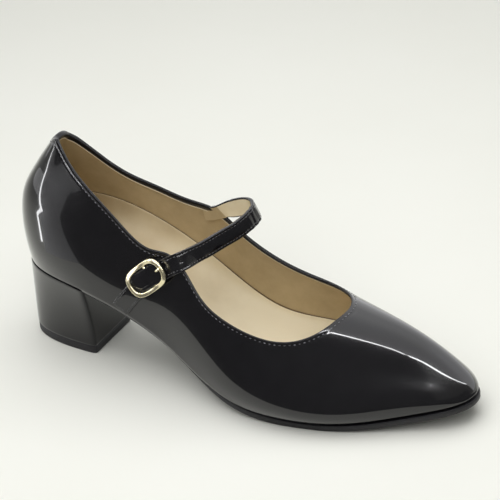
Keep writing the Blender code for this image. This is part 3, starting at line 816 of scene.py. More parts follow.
@dataclass(frozen=True)
class PaleFloor(Finish):
    """The pale studio floor: matte card with hardly visible mottling."""

    name: str = "studio floor"
    dark: str = "f1f1ea"
    light: str = "f4f4ee"

    def paint(self, bench: Bench) -> None:
        """Sets up the shader."""
        bench.set(Base_Color=bench.blend(bench.noise(0.12, 3), self.dark, self.light, 0.2, 0.8))
        bench.set(Roughness=0.9, Specular_IOR_Level=0.0)
        bench.relief((1.5 * MM, 2, 0.5, 0.02 * MM))


class Wardrobe:
    """Every finish of the shoe, made once."""

    def __init__(self) -> None:
        """Makes the materials."""
        # The fold and the heel's cover are duller than the rest, and the strap's lacquer ripples more.
        self.patent = PatentLeather().make()
        self.fold = PatentLeather("folded edge leather", coat=0.3, coat_roughness=0.3, sway=0.02 * MM).make()
        self.strap = PatentLeather("strap patent leather", light="17161a", sway=0.07 * MM).make()
        self.cover = PatentLeather("heel cover leather", light="161518", coat=0.6, coat_roughness=0.16).make()
        self.lining = LiningLeather("lining leather", "af9b77", "bfab86").make()
        self.lining_edge = LiningLeather("lining edge", "d8c8a6", "e6d9bc").make()
        # The strap's lining is the quarter's lining run on, painted paler as painted light where it faces out
        # of the shoe.
        self.strap_backing = LiningLeather("strap lining painted lit", "d4c4a2", "dfd2b4").make()
        # The dark bead along the sock's rim is painted shadow, the shade in the gap between sock and lining.
        self.sock_seam = LiningLeather("sock seam", "5a4832", "74603f").make()
        self.sock = SockLeather().make()
        self.sole = BlackRubber("sole rubber", "151418", "1f1e22").make()
        self.lift = BlackRubber("top piece rubber", "131216", "1c1b20").make()
        self.gold = GoldPlate().make()
        self.thread = WaxedThread("waxed thread", "35343a", "7f7e87").make()
        self.strap_thread = WaxedThread("strap thread", "2c2b2f", "6c6b70").make()
        self.floor = PaleFloor().make()


# ---------------------------------------------------------------- stitches


@dataclass(frozen=True)
class Stitching:
    """A row of short stitches, each a small closed pad of thread that stands off the leather by out."""

    length: float
    radius: float
    pitch: float
    out: float = 0.0
    around: int = 6
    along: int = 5
    tip: float = 0.97
    flatness: float = 0.8

    def pad(self) -> Array:
        """One stitch, a spindle along x: rings of radius r sqrt(1 - t^4) at t from -tip to tip."""
        t = np.linspace(-self.tip, self.tip, self.along)
        angle = np.arange(self.around) * 2 * np.pi / self.around
        thick = self.radius * np.sqrt(1 - t**4)
        far = np.broadcast_to((t * self.length / 2)[:, None], (self.along, self.around))
        round_it = (np.outer(thick, np.cos(angle)), np.outer(thick, np.sin(angle)) * self.flatness)
        return np.stack([far, *round_it], -1).reshape(-1, 3)

    def sew(self, name: str, line: Array, normals: Array, look: Look, closed: bool = False) -> None:
        """Sews stitches at even places along a line, each sunk by half, and hands them in.

        Args:
            name: the piece's name.
            line: (n, 3), the seam on the leather.
            normals: (n, 3), out of the leather.
            look: the thread.
            closed: whether the line is a loop.
        """
        if closed:
            line, normals = (np.concatenate([rows, rows[:1]]) for rows in (line, normals))
        way = ways(line)
        count = int(way[-1] // self.pitch)
        at = (np.arange(count) + 0.5) * way[-1] / count
        along = unit(pick(line, at + self.pitch / 4, way) - pick(line, at - self.pitch / 4, way))
        where = np.interp(at, way, np.arange(len(line)))
        out = unit(pick(normals, where))
        axes = np.stack([along, unit(np.cross(out, along)), out], 1)
        pad = self.pad()
        places = pick(line, where) + out * self.out
        points = places[:, None] + np.einsum("kj,nji->nki", pad, axes)
        quads = grid_faces(self.along, self.around, False, True)
        ring = np.arange(self.around)
        fans = np.stack([np.zeros(self.around - 2, int), ring[1:-1], ring[2:]], -1)
        ends = np.concatenate([fans[:, ::-1], fans + (self.along - 1) * self.around])
        offset = (np.arange(count) * len(pad))[:, None, None]
        faces = ((kind + offset).reshape(-1, kind.shape[1]) for kind in (quads, ends))
        hand_in(add_mesh(name, points.reshape(-1, 3), *faces), "patent_leather", [look])


# ---------------------------------------------------------------- the upper


@dataclass
class Upper:
    """The patent upper with its folded topline, its lining and its stitching.

    Shares run from 0 at the sole to 1 at the topline. The band's rings are (way down from the topline,
    further in than the band), and those under the sole's edge are (way in, up).
    """

    columns: int = 480
    rows: int = 84
    crowding: float = 0.55
    trials: int = 25
    fold_steps: int = 10
    fold_roundness: float = 0.75
    band_depth: float = 1.75 * MM
    band_end: float = 2.7 * MM
    band_rings: tuple = ((0.3 * MM, 0.0), (1.4 * MM, 0.05 * MM), (2.4 * MM, 0.0), (2.6 * MM, -0.25 * MM))
    back_swell: Hill = Hill(0.0, 0.16, 1.3 * MM)
    leather: float = 0.9 * MM
    inner_shares: tuple = (1.0, *np.linspace(0.85, 0.02, 12))
    under_rings: tuple = ((6.0 * MM, 0.5 * MM), (6.0 * MM, 0.0), (1.4 * MM, -0.05 * MM))
    tuck: Hill = Hill(0.0, 1.3 * MM, -0.8 * MM)
    tuck_eased: Hill = Hill(0.0, 0.35, 0.6)
    seam: Hill = Hill(2.0 * MM, 0.4 * MM, -0.16 * MM)
    padding: Hill = Hill(0.9 * MM, 0.8 * MM, 0.10 * MM)
    drawn_in: float = 1.2 * MM
    drawn_reach: float = 0.25
    drawn_fade: float = 0.12
    drawn_from: float = 0.5
    drawn_rise: float = 0.3
    lining_rows: int = 60
    lining_low: float = 0.03
    lining_start: float = 2.0 * MM
    lining_depths: tuple = (1.5 * MM, 1.05 * MM)
    lip: Hill = Hill(3.1 * MM, 0.5 * MM, 0.1 * MM)
    swell_reach: float = 25 * MM
    edge_below: float = 2.85 * MM
    edge_cover: float = 0.15 * MM
    edge_size: tuple = (0.30 * MM, 0.36 * MM)
    stitching: Stitching = Stitching(1.1 * MM, 0.24 * MM, 2.5 * MM, 0.12 * MM)

    def __post_init__(self) -> None:
        """Works out how long each column of the upper is."""
        self.column = (np.arange(self.columns) + 0.5) * 2 / self.columns - 1
        self.trial = np.linspace(0, 1, self.trials)
        self.way = ways(LAST.surface(self.column[None], self.trial[:, None]))
        self.band = self.band_depth + self.back_swell.lift(self.column)

    def face(self, row: Array) -> tuple[Array, Array]:
        """The leather's outer face and its normals: the last's, drawn in round the back of the collar."""
        normal, _ = LAST.facing(self.column, row)
        round_back = eased((self.drawn_reach - np.abs(self.column)) / self.drawn_fade)
        inward = self.drawn_in * round_back * eased((row - self.drawn_from) / self.drawn_rise)
        return LAST.surface(self.column, row) - normal * inward[..., None], normal

    def inside(self, row: Array, depth: Array) -> Array:
        """Points this deep under the leather's outer face."""
        face, normal = self.face(row)
        return face - normal * np.asarray(depth)[..., None]

    def row_at(self, below: float) -> Array:
        """The row of each column that lies this far under the topline."""
        wanted = self.way[-1] - below
        return np.array([np.interp(w, line, self.trial) for w, line in zip(wanted, self.way.T)])

    def relieved(self, row: Array) -> tuple[Array, Array]:
        """The outer face, tucked over the sole, with its sewn groove and padded edge, and its normals."""
        face, normal = self.face(row)
        low, high = row * self.way[-1], (1 - row) * self.way[-1]
        tuck = (1 - self.tuck_eased.lift(self.column)) * self.tuck.lift(low)
        out = tuck + self.seam.lift(high) + self.padding.lift(high)
        return face + normal * out[..., None], normal

    def build(self) -> Thing:
        """The outer leather: its outer face, the fold over the topline and a thin inner face."""
        near_top = self.row_at(self.band_rings[0][0])
        outer, _ = self.relieved(close_ends(self.rows, self.crowding)[:, None] * near_top)
        normal, up = LAST.facing(self.column, near_top)
        half = self.band[:, None] / 2
        angle = np.linspace(0, np.pi, self.fold_steps + 2)[1:-1, None, None]
        fold = outer[-1] - normal * half
        fold = fold + (normal * np.cos(angle) + up * np.sin(angle) * self.fold_roundness) * half
        inner = [self.inside(self.row_at(below), self.band + deeper) for below, deeper in self.band_rings]
        lowest = self.row_at(self.band_end)
        inner += [self.inside(share * lowest, self.leather) for share in self.inner_shares]
        sole_line = np.zeros(self.columns)
        edge = LAST.surface(self.column, sole_line)
        inward = unit(LAST.facing(self.column, sole_line)[0] * (1, 1, 0))
        under = [edge - inward * way + (0, 0, rise) for way, rise in self.under_rings]
        grid = np.concatenate([outer, fold, inner, under])
        upper = add_grid("upper_leather", grid, round_rows=True)
        index = np.zeros((len(grid), self.columns), np.int32)
        index[self.rows - 1 : self.rows + self.fold_steps + len(self.band_rings) + 1] = 1
        upper.data.polygons.foreach_set("material_index", index.ravel())
        return upper

    def build_lining(self) -> Thing:
        """The lining: a thin shell inside the upper, from under its folded band to the sock."""
        rows = np.linspace(1, self.lining_low, self.lining_rows)[:, None] * self.row_at(self.lining_start)
        below = (1 - rows) * self.way[-1]
        swell = (self.band - self.band_depth) * np.clip(1 - below / self.swell_reach, 0, 1)
        seen, hidden = self.lining_depths
        visible = self.inside(rows, seen + (self.lip.lift(below) + swell))
        return add_grid("lining", np.concatenate([visible, self.inside(rows, hidden)[::-1]]), round_rows=True)

    def build_lining_edge(self) -> Thing:
        """The lining's pale cut edge, a thin bead just under the folded band."""
        row = self.row_at(self.edge_below)
        normal, up = LAST.facing(self.column, row)
        middle = self.inside(row, self.band - self.edge_cover)
        return add_grid("lining_edge", bead(middle, normal, up, *self.edge_size), round_rows=True)

    def dress(self, looks: Wardrobe) -> None:
        """Builds and dresses every piece of the upper."""
        hand_in(self.build(), "patent_leather", [looks.patent, looks.fold], "upper")
        hand_in(self.build_lining(), "sock_leather", [looks.lining])
        hand_in(self.build_lining_edge(), "sock_leather", [looks.lining_edge])
        line, normal = self.relieved(self.row_at(self.seam.at))
        self.stitching.sew("topline_stitches", line, normal, looks.thread, True)


# ---------------------------------------------------------------- sock, sole and heel


class SockPoint(NamedTuple):
    """The sock at a station: its middle's and its edge's height, and its way in from the last."""

    station: float
    rise: float
    edge: float
    inset: float


@dataclass
class Sock:
    """The padded sock, cupped up the walls of the heel and the arch; the rings of its lip are (out, up)."""

    half: int = 150
    steps: int = 26
    spine: float = 0.85
    wall_rise: float = 0.25
    floor_reach: float = 0.78
    play: float = 0.2 * MM
    bottom: float = 0.4 * MM
    bottom_play: float = 0.3 * MM
    lips: tuple = ((0.175 * MM, 0.25 * MM), (0.56 * MM, -0.3 * MM))
    # The dark bead of painted shadow along the sock's rim: its lift, its way out and its radius.
    seam_lift: float = 0.15 * MM
    shadow_out: float = 0.35 * MM
    shadow_radius: float = 0.42 * MM
    points: tuple = table(
        SockPoint,
        (1, MM, MM, MM),
        (0.00, 10.0, 26.0, 2.1),
        (0.10, 10.2, 26.5, 2.1),
        (0.24, 10.4, 26.5, 2.1),
        (0.33, 10.4, 25.7, 2.1),
        (0.40, 10.2, 23.0, 2.1),
        (0.47, 9.5, 18.5, 2.1),
        (0.53, 8.7, 15.3, 2.1),
        (0.63, 7.2, 14.2, 2.1),
        (0.80, 4.3, 8.0, 2.3),
        (1.00, 1.8, 2.6, 4.0),
    )

    def __post_init__(self) -> None:
        """Works out the sock's heights and insets along the shoe."""
        self.turns = np.linspace(0, 1, self.half + 1)
        self.stations = LAST.station_of(self.turns)
        knots, *rows = zip(*self.points)
        self.rise, self.edge, self.inset = (spline(knots, row, self.stations) for row in rows)

    def ring(self, height: Array, margin: Array) -> Array:
        """The closed outline at a height over the seat, moved out by a margin."""
        return ring_of(LAST.outline(self.turns, height, margin), LAST.seat(self.stations) + height, True)

    def build(self) -> Thing:
        """The sock: a Bezier curve from its flat middle up each wall, a rolled lip and a flat underside."""
        top = self.ring(self.edge, -self.inset)
        wall = self.ring(self.rise + self.wall_rise * (self.edge - self.rise), -self.inset - self.play)
        low = self.ring(self.rise, -self.inset - self.play)
        floor = self.ring(self.bottom, -self.inset - self.bottom_play)
        across = -np.arange(len(low)) % len(low)
        middle = (low + low[across]) / 2
        middle[:, 0] = LAST.length / 2 + (middle[:, 0] - LAST.length / 2) * self.spine
        control = np.stack([middle, middle + self.floor_reach * (low - middle), wall, top])
        dish = np.einsum("kc,cnd->knd", basis(np.linspace(0, 1, self.steps), len(control)), control)
        outward = unit((top - middle) * (1, 1, 0))
        lips = [top + outward * out + (0, 0, up) for out, up in self.lips]
        under = middle * (1, 1, 0) + floor * (0, 0, 1)
        sock = add_grid("sock", np.concatenate([dish, lips, [floor, under]]))
        weld(sock)
        return sock

    def build_painted_shadow(self) -> Thing:
        """Painted shadow where the sock meets the lining: a thin dark bead along the sock's rim."""
        ring = self.ring(self.edge + self.seam_lift, -self.inset + self.shadow_out)
        outward = unit((ring - ring.mean(0)) * (1, 1, 0))
        around = bead(ring, outward, np.array([0, 0, 1]), self.shadow_radius, self.shadow_radius)
        return add_grid("sock_seam", around, round_rows=True)

    def dress(self, looks: Wardrobe) -> None:
        """Builds and dresses the sock and the dark bead of painted shadow along its rim."""
        hand_in(self.build(), "sock_leather", [looks.sock], "insole")
        hand_in(self.build_painted_shadow(), "sock_leather", [looks.sock_seam])


@dataclass
class Outsole:
    """The thin sole from the heel's breast to the toe, with an eased edge.

    Its profile is a row of rings, each (inset in mm, share of the thickness down).
    """

    half: int = 170
    breast: float = 0.178
    thickness: float = 3.4 * MM
    gap: float = 0.3 * MM
    crisp: float = 50
    stations: tuple = (0.16, 0.40, 0.55, 0.68, 1.00)
    margins: tuple = (-3.0 * MM, -2.6 * MM, -0.6 * MM, 0.5 * MM, 0.8 * MM)
    profile: tuple = ((1.1, 1), (0.55, 0.985), (0.2, 0.93), (0, 0.82), (0, 0.3), (0.08, 0.08), (0.3, 0))

    def build(self) -> Thing:
        """The sole: rings of its outline, closed above and below by their middle lines."""
        turns = np.linspace(LAST.turn_of(self.breast), 1, self.half + 1)
        stations = LAST.station_of(turns)
        margins = spline(self.stations, self.margins, stations)
        top = LAST.seat(stations) - self.gap
        low = np.maximum(top - self.thickness, 0)
        rings = []
        for inset, depth in self.profile:
            sides = LAST.outline(turns, 0, margins - inset * MM)
            rings.append(ring_of(sides, top + (low - top) * depth, False))
        rings = np.array(rings)
        front = self.breast * LAST.length + LAST.leaned(self.breast, 0) + self.gap
        rings[..., 0] = np.maximum(rings[..., 0], front)
        above, below = ((ends + ends[::-1]) / 2 for ends in (rings[0], rings[-1]))
        sole = add_grid("sole", np.concatenate([[above], rings, [below]]))
        weld(sole)
        sharpen(sole, self.crisp)
        return sole

    def dress(self, looks: Wardrobe) -> None:
        """Builds and dresses the sole."""
        hand_in(self.build(), "sole_rubber", [looks.sole], "outsole")


@dataclass
class Heel:
    """The covered block heel and its top piece, whose profile is rings of (inset, height) in mm."""

    front: float = 43.0 * MM
    back: float = -1.6 * MM
    half_width: float = 18.0 * MM
    middle: float = 1.0 * MM
    roundness: float = 2.6
    flare: float = 1.5
    turned: float = float(np.radians(2))
    gap: float = 0.3 * MM
    breast: float = 0.178
    back_points: int = 120
    breast_points: int = 90
    levels: int = 40
    corner_reach: int = 6
    corner_softness: float = 2.2
    crisp: float = 60
    swell: float = 0.5 * MM
    pinches: tuple = (Hill(1.0, 0.012, 0.35 * MM), Hill(0.0, 0.012, 0.2 * MM))
    lift: float = 4.7 * MM
    lift_inset: float = 0.2 * MM
    lift_profile: tuple = ((0.9, 0), (0.35, 0.12), (0.1, 0.5), (0, 1.2), (0, 3.9), (0.12, 4.4), (0.5, 4.7))

    def foot(self, inset: float) -> Array:
        """The D shape at the heel's foot, a superellipse cut square at the front: x, y."""
        reach, sway = power_wave(np.linspace(-1, 1, 2 * self.back_points + 1) * np.pi / 2, self.roundness)
        x = self.front - inset - (self.front - self.back - 2 * inset) * reach
        y = self.middle + (self.half_width - inset) * sway
        cos, sin = np.cos(self.turned), np.sin(self.turned)
        return np.stack([x * cos + y * sin, y * cos - x * sin], -1)

    def closed(self, flat: Array, z: Array) -> Array:
        """Joins a curve's ends by the straight breast and rounds the two corners.

        The ring's points are averaged with their neighbours, weighted by exp(-(steps / softness)^2 / 2).
        """
        curve = np.column_stack([flat, np.broadcast_to(z, len(flat))])
        t = np.linspace(0, 1, self.breast_points + 2)[1:-1, None]
        ring = np.concatenate([curve, curve[-1] + (curve[0] - curve[-1]) * t])
        reach = np.arange(-self.corner_reach, self.corner_reach + 1)
        weight = np.exp(-((reach / self.corner_softness) ** 2) / 2)
        return sum(w * np.roll(ring, k, 0) for k, w in zip(reach, weight / weight.sum()))

    def finished(self, name: str, rings: Sequence[Array]) -> Thing:
        """A capped piece of rings, with crisp edges."""
        thing = add_grid(name, np.array(rings), caps=True)
        sharpen(thing, self.crisp)
        return thing

    def build(self) -> Thing:
        """The block: rings that go from the foot's outline to the seat's, curving in under the seat."""
        turns = np.linspace(0, LAST.turn_of(self.breast), self.back_points + 1)
        lateral, medial = LAST.outline(turns, 0, 0)
        top = np.concatenate([lateral[::-1], medial[1:]])
        high = LAST.seat(LAST.station_of(np.concatenate([turns[::-1], turns[1:]]))) + self.gap
        foot = self.foot(0)
        low = self.lift + self.gap / 2
        rings = []
        for share in close_ends(self.levels)[::-1]:
            flat = top + (foot - top) * (1 - (1 - share) ** self.flare)
            ring = self.closed(flat, high + (low - high) * share)
            pinch = sum(hill.lift(share) for hill in self.pinches) - self.swell * (1 - share) ** 2
            rings.append(ring - unit((ring - ring.mean(0)) * (1, 1, 0)) * pinch)
        return self.finished("heel_cover", rings)

    def build_lift(self) -> Thing:
        """The top piece: the foot's outline with eased edges."""
        rings = []
        for inset, z in self.lift_profile:
            rings.append(self.closed(self.foot(self.lift_inset + inset * MM), z * MM))
        return self.finished("top_piece", rings)

    def dress(self, looks: Wardrobe) -> None:
        """Builds and dresses the heel."""
        hand_in(self.build(), "heel_cover", [looks.cover], "heel")
        hand_in(self.build_lift(), "lift_rubber", [looks.lift], "toplift")


# ---------------------------------------------------------------- strap and buckle


class StrapPoint(NamedTuple):
    """A point of the strap's free run, with the way to its upper edge and its width."""

    forward: float
    side: float
    up: float
    edge_forward: float
    edge_side: float
    edge_up: float
    width: float


class QuarterPoint(NamedTuple):
    """A point laid on the lateral quarter: its turn and share, and its height off it."""

    turn: float
    share: float
    off: float


def quarter_points(lay: Sequence[QuarterPoint]) -> tuple[Array, Array]:
    """The places and normals of points laid on the lateral quarter."""
    turn, share, off = (np.array(values) for values in zip(*lay))
    normal = LAST.normals(turn, -1, share)
    return LAST.points(turn, -1, share) + normal * off[:, None], normal


def flank(u: Array, power: float, root: float) -> Array:
    """The height of a strip with rounded edges at shares u of its half width: (1 - |u|^power)^(1 / root)."""
    return np.clip(1 - np.abs(u) ** power, 0, 1) ** (1 / root)


@dataclass
class Strap:
    """The instep strap: folded patent leather, its lining painted paler than the quarter's as painted light,
    and two rows of stitches.
    """

    width: float = 10.0 * MM
    thickness: float = 1.9 * MM
    root_thickness: float = 1.35 * MM
    root_length: float = 15.0 * MM
    tip_limit: float = 0.999
    steps: int = 500
    across: int = 40
    crowding: float = 0.5
    edge_shape: tuple = (22, 7)
    crown: float = 0.12 * MM
    groove: Hill = Hill(3.5 * MM, 0.35 * MM, 0.16 * MM)
    lining_reach: float = 0.84
    root_edge: float = -0.95
    lined_until: float = 12.0 * MM
    seam_inset: float = 1.5 * MM
    seam_start: float = 9.0 * MM
    seam_left: float = 21.0 * MM
    thread_sunk: float = 0.02 * MM
    stitching: Stitching = Stitching(1.2 * MM, 0.18 * MM, 1.9 * MM)
    lean: float = 0.5
    lean_wave: float = 2.1
    lean_shift: float = 900.0
    creases: tuple = table(
        Hill,
        (MM, MM, MM),
        (31.0, 0.55, 0.10),
        (32.6, 0.50, -0.11),
        (34.3, 0.60, 0.15),
        (35.9, 0.45, -0.16),
        (37.3, 0.55, 0.14),
        (38.9, 0.50, -0.12),
        (40.7, 0.70, 0.10),
        (43.5, 0.90, -0.07),
        (52.0, 3.00, 0.16),
        (61.0, 3.50, -0.14),
        (69.0, 2.60, 0.12),
        (101.0, 0.90, -0.10),
        (104.0, 0.80, 0.08),
        (110.4, 0.90, -0.05),
        (114.6, 1.10, 0.04),
    )
    holes: tuple = (31.0 * MM, 22.4 * MM)
    hole_radius: float = 0.62 * MM
    hole_depth: float = 0.55 * MM
    hole_rim: Hill = Hill(0.93 * MM, 0.186 * MM, 0.06 * MM)
    run: tuple = table(
        StrapPoint,
        (MM, MM, MM, 1, 1, 1, MM),
        (94.5, 18.6, 76.6, -0.20, 0.04, 0.97, 7.4),
        (100.2, 17.75, 78.9, -0.46, 0.03, 0.88, 7.8),
        (106.0, 17.6, 81.5, -0.70, 0.02, 0.71, 8.4),
        (109.8, 19.3, 82.6, -0.45, 0.08, 0.90, 9.5),
        (115.6, 21.5, 84.0, -0.34, 0.10, 0.94, 10.0),
        (121.4, 22.5, 84.2, -0.40, 0.00, 0.92, 10.0),
        (124.2, 19.3, 83.9, -0.33, -0.12, 0.94, 10.0),
        (124.2, 15.0, 82.9, -0.28, -0.18, 0.95, 10.0),
        (121.0, 7.0, 80.5, -0.26, -0.24, 0.94, 10.0),
        (117.0, -0.5, 79.0, -0.26, -0.24, 0.94, 10.0),
        (112.3, -9.6, 77.5, -0.27, -0.22, 0.94, 10.0),
        (107.5, -17.5, 76.2, -0.35, -0.18, 0.92, 10.0),
    )
    lay: tuple = table(
        QuarterPoint,
        (1, 1, MM),
        (0.4430, 0.545, 2.0),
        (0.4330, 0.493, 1.9),
        (0.4208, 0.426, 2.2),
        (0.4143, 0.394, 2.7),
        (0.4088, 0.367, 3.0),
        (0.3980, 0.314, 3.2),
        (0.3880, 0.266, 3.1),
        (0.3820, 0.237, 3.0),
    )

    def __post_init__(self) -> None:
        """Works out the strap's line from its root to its tip."""
        laid, normal = quarter_points(self.lay)
        rear = unit(np.cross(unit(np.gradient(laid, axis=0)), normal))
        rows = np.column_stack([laid, rear, np.full(len(laid), self.width)])
        self.route, self.along = smooth_path(np.concatenate([self.run, rows]), self.steps)
        self.middle, self.rear = self.route[:, :3], unit(self.route[:, 3:6])
        self.way = ways(self.middle)
        tip = np.clip(1 - (self.way[-1] - self.way) / (self.width / 2), 0, self.tip_limit)
        self.half_widths = self.route[:, 6] / 2 * np.sqrt(1 - tip**2)
        thinned = (self.thickness - self.root_thickness) / 2 * eased(1 - self.way / self.root_length)
        self.high = self.thickness / 2 - thinned

    def step_at(self, way: float) -> int:
        """The number of the step at a way along the strap."""
        return int(np.searchsorted(self.way, way))

    def crinkle(self, u: Array) -> Array:
        """How far creases lift the strap, in metres, at shares u of its half width.

        Each is a hill whose middle sways by lean sin(wave u + shift middle) of its half width.
        """
        lifted = np.zeros_like(u)
        for crease in self.creases:
            sway = self.lean * crease.width * np.sin(self.lean_wave * u + self.lean_shift * crease.at)
            lifted += crease.lift(self.way[:, None] - sway)
        return lifted

    def pits(self, u: Array) -> Array:
        """How deep the punched holes sink the strap, in metres: depth / (1 + (distance / radius)^6)."""
        sunk = np.zeros((self.steps, len(u)))
        for left in self.holes:
            ahead = (self.way[-1] - self.way - left)[:, None]
            distance = np.hypot(ahead, u * self.width / 2)
            sunk += self.hole_depth / (1 + (distance / self.hole_radius) ** 6)
            sunk -= self.hole_rim.lift(distance)
        return sunk

    def build(self) -> Thing:
        """The strap: a flat profile with rounded edges, crowned between its two sunk seams."""
        u = 2 * close_ends(self.across, self.crowding) - 1
        lower = -self.high[:, None] * flank(u, *self.edge_shape)
        groove = self.groove.lift(np.abs(u) * self.width / 2)
        upper = -lower - groove + self.crown * (1 - u**2) - self.pits(u)
        sides = [np.stack([np.broadcast_to(u, face.shape), face], -1) for face in (upper, lower)]
        profile = np.concatenate([sides[0], sides[1][:, -2:0:-1]], 1)
        profile[..., 1] += self.crinkle(profile[..., 0])
        grid = ribbon(self.middle, self.along, self.rear, self.half_widths, profile)
        strap = add_grid("strap_leather", grid, caps=True)
        share = profile[0, :, 0]
        under = np.arange(len(share)) >= self.across
        # Painted light: beyond lined_until the lining under the strap takes the paler copy; near the root it
        # keeps the quarter's lining.
        looks = np.tile(under & (np.abs(share) < self.lining_reach), (self.steps - 1, 1)).astype(np.int32)
        lined = (under & (share < self.lining_reach)) | (share < self.root_edge)
        looks[: self.step_at(self.lined_until)] = 2 * lined
        index = np.zeros(len(strap.data.polygons), np.int32)
        index[: looks.size] = looks.ravel()
        strap.data.polygons.foreach_set("material_index", index)
        return strap

    def sew(self, thread: Look) -> None:
        """Sews a row of stitches along each edge, from the root to the buckle's end."""
        off = unit(np.cross(self.rear, self.along))
        sewn = slice(self.step_at(self.seam_start), self.step_at(self.way[-1] - self.seam_left))
        for name, sign in (("upper", 1), ("lower", -1)):
            share = sign * (self.half_widths - self.seam_inset)
            high = self.high + self.crinkle((share / self.half_widths)[:, None])[:, 0] - self.thread_sunk
            line = self.middle + self.rear * share[:, None] + off * high[:, None]
            self.stitching.sew(f"strap_stitches_{name}", line[sewn], off[sewn], thread)

    def dress(self, looks: Wardrobe) -> None:
        """Builds and dresses the strap."""
        hand_in(self.build(), "patent_leather", [looks.strap, looks.strap_backing, looks.lining], "strap")
        self.sew(looks.strap_thread)


@dataclass
class Buckle:
    """The oval buckle with its bar, its prong and the tab that holds it.

    The prong's line is points of (along the buckle, off the quarter) in mm. No rod lies along aside.
    """

    turn: float = 0.4025
    share: float = 0.3400
    long: float = 12.1 * MM
    short: float = 7.9 * MM
    strap_from: int = 2
    swing: float = 0.083
    roundness: float = 3.8
    end_roundness: float = 2.3
    bar_roundness: float = 4.0
    frame_width: float = 2.2 * MM
    frame_thickness: float = 1.6 * MM
    frame_steps: int = 120
    bar_steps: int = 28
    side_off: float = 2.9 * MM
    end_off: float = 5.1 * MM
    bar_radius: float = 0.7 * MM
    bar_off: float = 1.3 * MM
    bar_rings: int = 12
    prong_radius: float = 0.6 * MM
    prong_rings: int = 60
    prong_line: tuple = ((1.1, 1.2), (4.5, 1.25), (6.2, 2.3), (7.4, 4.6), (8.8, 6.3), (11.2, 6.4))
    rod_sides: int = 16
    rod_blunt: float = 0.02
    aside: tuple = (0.31, 0.17, 0.93)
    tab_thickness: float = 1.3 * MM
    tab_fullness: float = 0.3 * MM
    tab_width: float = 10.0 * MM
    tab_steps: int = 90
    tab_across: int = 22
    tab_edge: tuple = (12, 5)
    tab_thin: float = 0.55
    tab_groove: Hill = Hill(3.6 * MM, 0.35 * MM, 0.12 * MM)
    tab_seam: float = 3.7 * MM
    seam_steps: int = 200
    seam_first: int = 60
    seam_cross: int = 30
    seam_left: float = 1.5 * MM
    stitching: Stitching = Stitching(1.15 * MM, 0.16 * MM, 1.8 * MM)
    tab_lay: tuple = table(
        QuarterPoint,
        (1, 1, MM),
        (0.3965, 0.308, 1.1),
        (0.3836, 0.222, 1.1),
        (0.3700, 0.143, 1.1),
        (0.3510, 0.036, 1.2),
    )

    def axes(self, strap: Strap) -> tuple[Array, Array, Array, Array]:
        """The buckle's middle on the quarter, its long and short axes and its normal."""
        laid, _ = quarter_points(strap.lay)
        middles, normals = quarter_points([QuarterPoint(self.turn, self.share, 0.0)])
        middle, normal = middles[0], normals[0]
        long = laid[self.strap_from] - laid[-1]
        long = unit(long - np.dot(long, normal) * normal)
        long = long * np.cos(self.swing) + np.cross(normal, long) * np.sin(self.swing)
        return middle, long, np.cross(normal, long), normal

    def build_frame(self, strap: Strap) -> Thing:
        """The frame: a rounded bar carried round a superellipse, raised at both ends over the strap.

        At a share x of the long axis it stands off by side + (end - side) (1 - (1 - x^2)^2).
        """
        middle, long, short, normal = self.axes(strap)
        angle, around = (np.arange(count) * 2 * np.pi / count for count in (self.frame_steps, self.bar_steps))
        reach = power_wave(angle, self.roundness)[0]
        sway = power_wave(angle, self.end_roundness)[1]
        off = self.side_off + (self.end_off - self.side_off) * (1 - (1 - reach**2) ** 2)
        out, lift = (wave[:, None] for wave in power_wave(around, self.bar_roundness))
        inset = (0.5 - 0.5 * out) * self.frame_width
        along = ((self.long - inset) * reach)[..., None] * long
        across = ((self.short - inset) * sway)[..., None] * short
        height = (off + 0.5 * lift * self.frame_thickness)[..., None] * normal
        return add_grid("buckle_oval", middle + along + across + height, round_rows=True)

    def rod(self, name: str, points: Array, radius: float, count: int) -> Thing:
        """A round rod through the points, with domed ends."""
        spread = close_ends(count)
        path, along = smooth_path(points, count, spread)
        left = np.minimum(spread, 1 - spread) * ways(path)[-1]
        dome = np.clip(1 - (1 - np.minimum(left / radius, 1)) ** 2, self.rod_blunt**2, 1)
        helper = unit(np.cross(along, self.aside))
        other = np.cross(along, helper)
        angle = np.arange(self.rod_sides)[:, None] * 2 * np.pi / self.rod_sides
        ring = helper[:, None] * np.cos(angle) + other[:, None] * np.sin(angle)
        return add_grid(name, path[:, None] + ring * (radius * np.sqrt(dome))[:, None, None], caps=True)

    def tab_line(self, count: int) -> tuple[Array, Array, Array]:
        """Points along the tab's middle, their directions and the ways to its upper edge."""
        path, along = smooth_path(np.concatenate(quarter_points(self.tab_lay), -1), count)
        return path[:, :3], along, unit(np.cross(along, path[:, 3:]))

    def build_tab(self) -> Thing:
        """The tab: a strip laid along the quarter from the buckle down, thinned at both ends."""
        path, along, rear = self.tab_line(self.tab_steps)
        u = np.linspace(-1, 1, self.tab_across)
        edge = flank(u, *self.tab_edge)
        high = self.tab_thickness / 2
        upper = high * edge - self.tab_groove.lift(np.abs(u) * self.tab_width / 2)
        lower = -high * edge - self.tab_fullness * edge
        profile = np.concatenate([np.stack([u, upper], -1), np.stack([u, lower], -1)[-2:0:-1]])
        even = np.linspace(0, 1, self.tab_steps)
        ends = np.minimum(even, 1 - even) * self.tab_steps
        thick = self.tab_thin + (1 - self.tab_thin) * np.sqrt(np.clip(ends / 2, 0, 1))
        profiles = profile * np.stack([np.ones_like(thick), thick], -1)[:, None]
        widths = np.full(self.tab_steps, self.tab_width / 2)
        return add_grid("tab_leather", ribbon(path, along, rear, widths, profiles), caps=True)

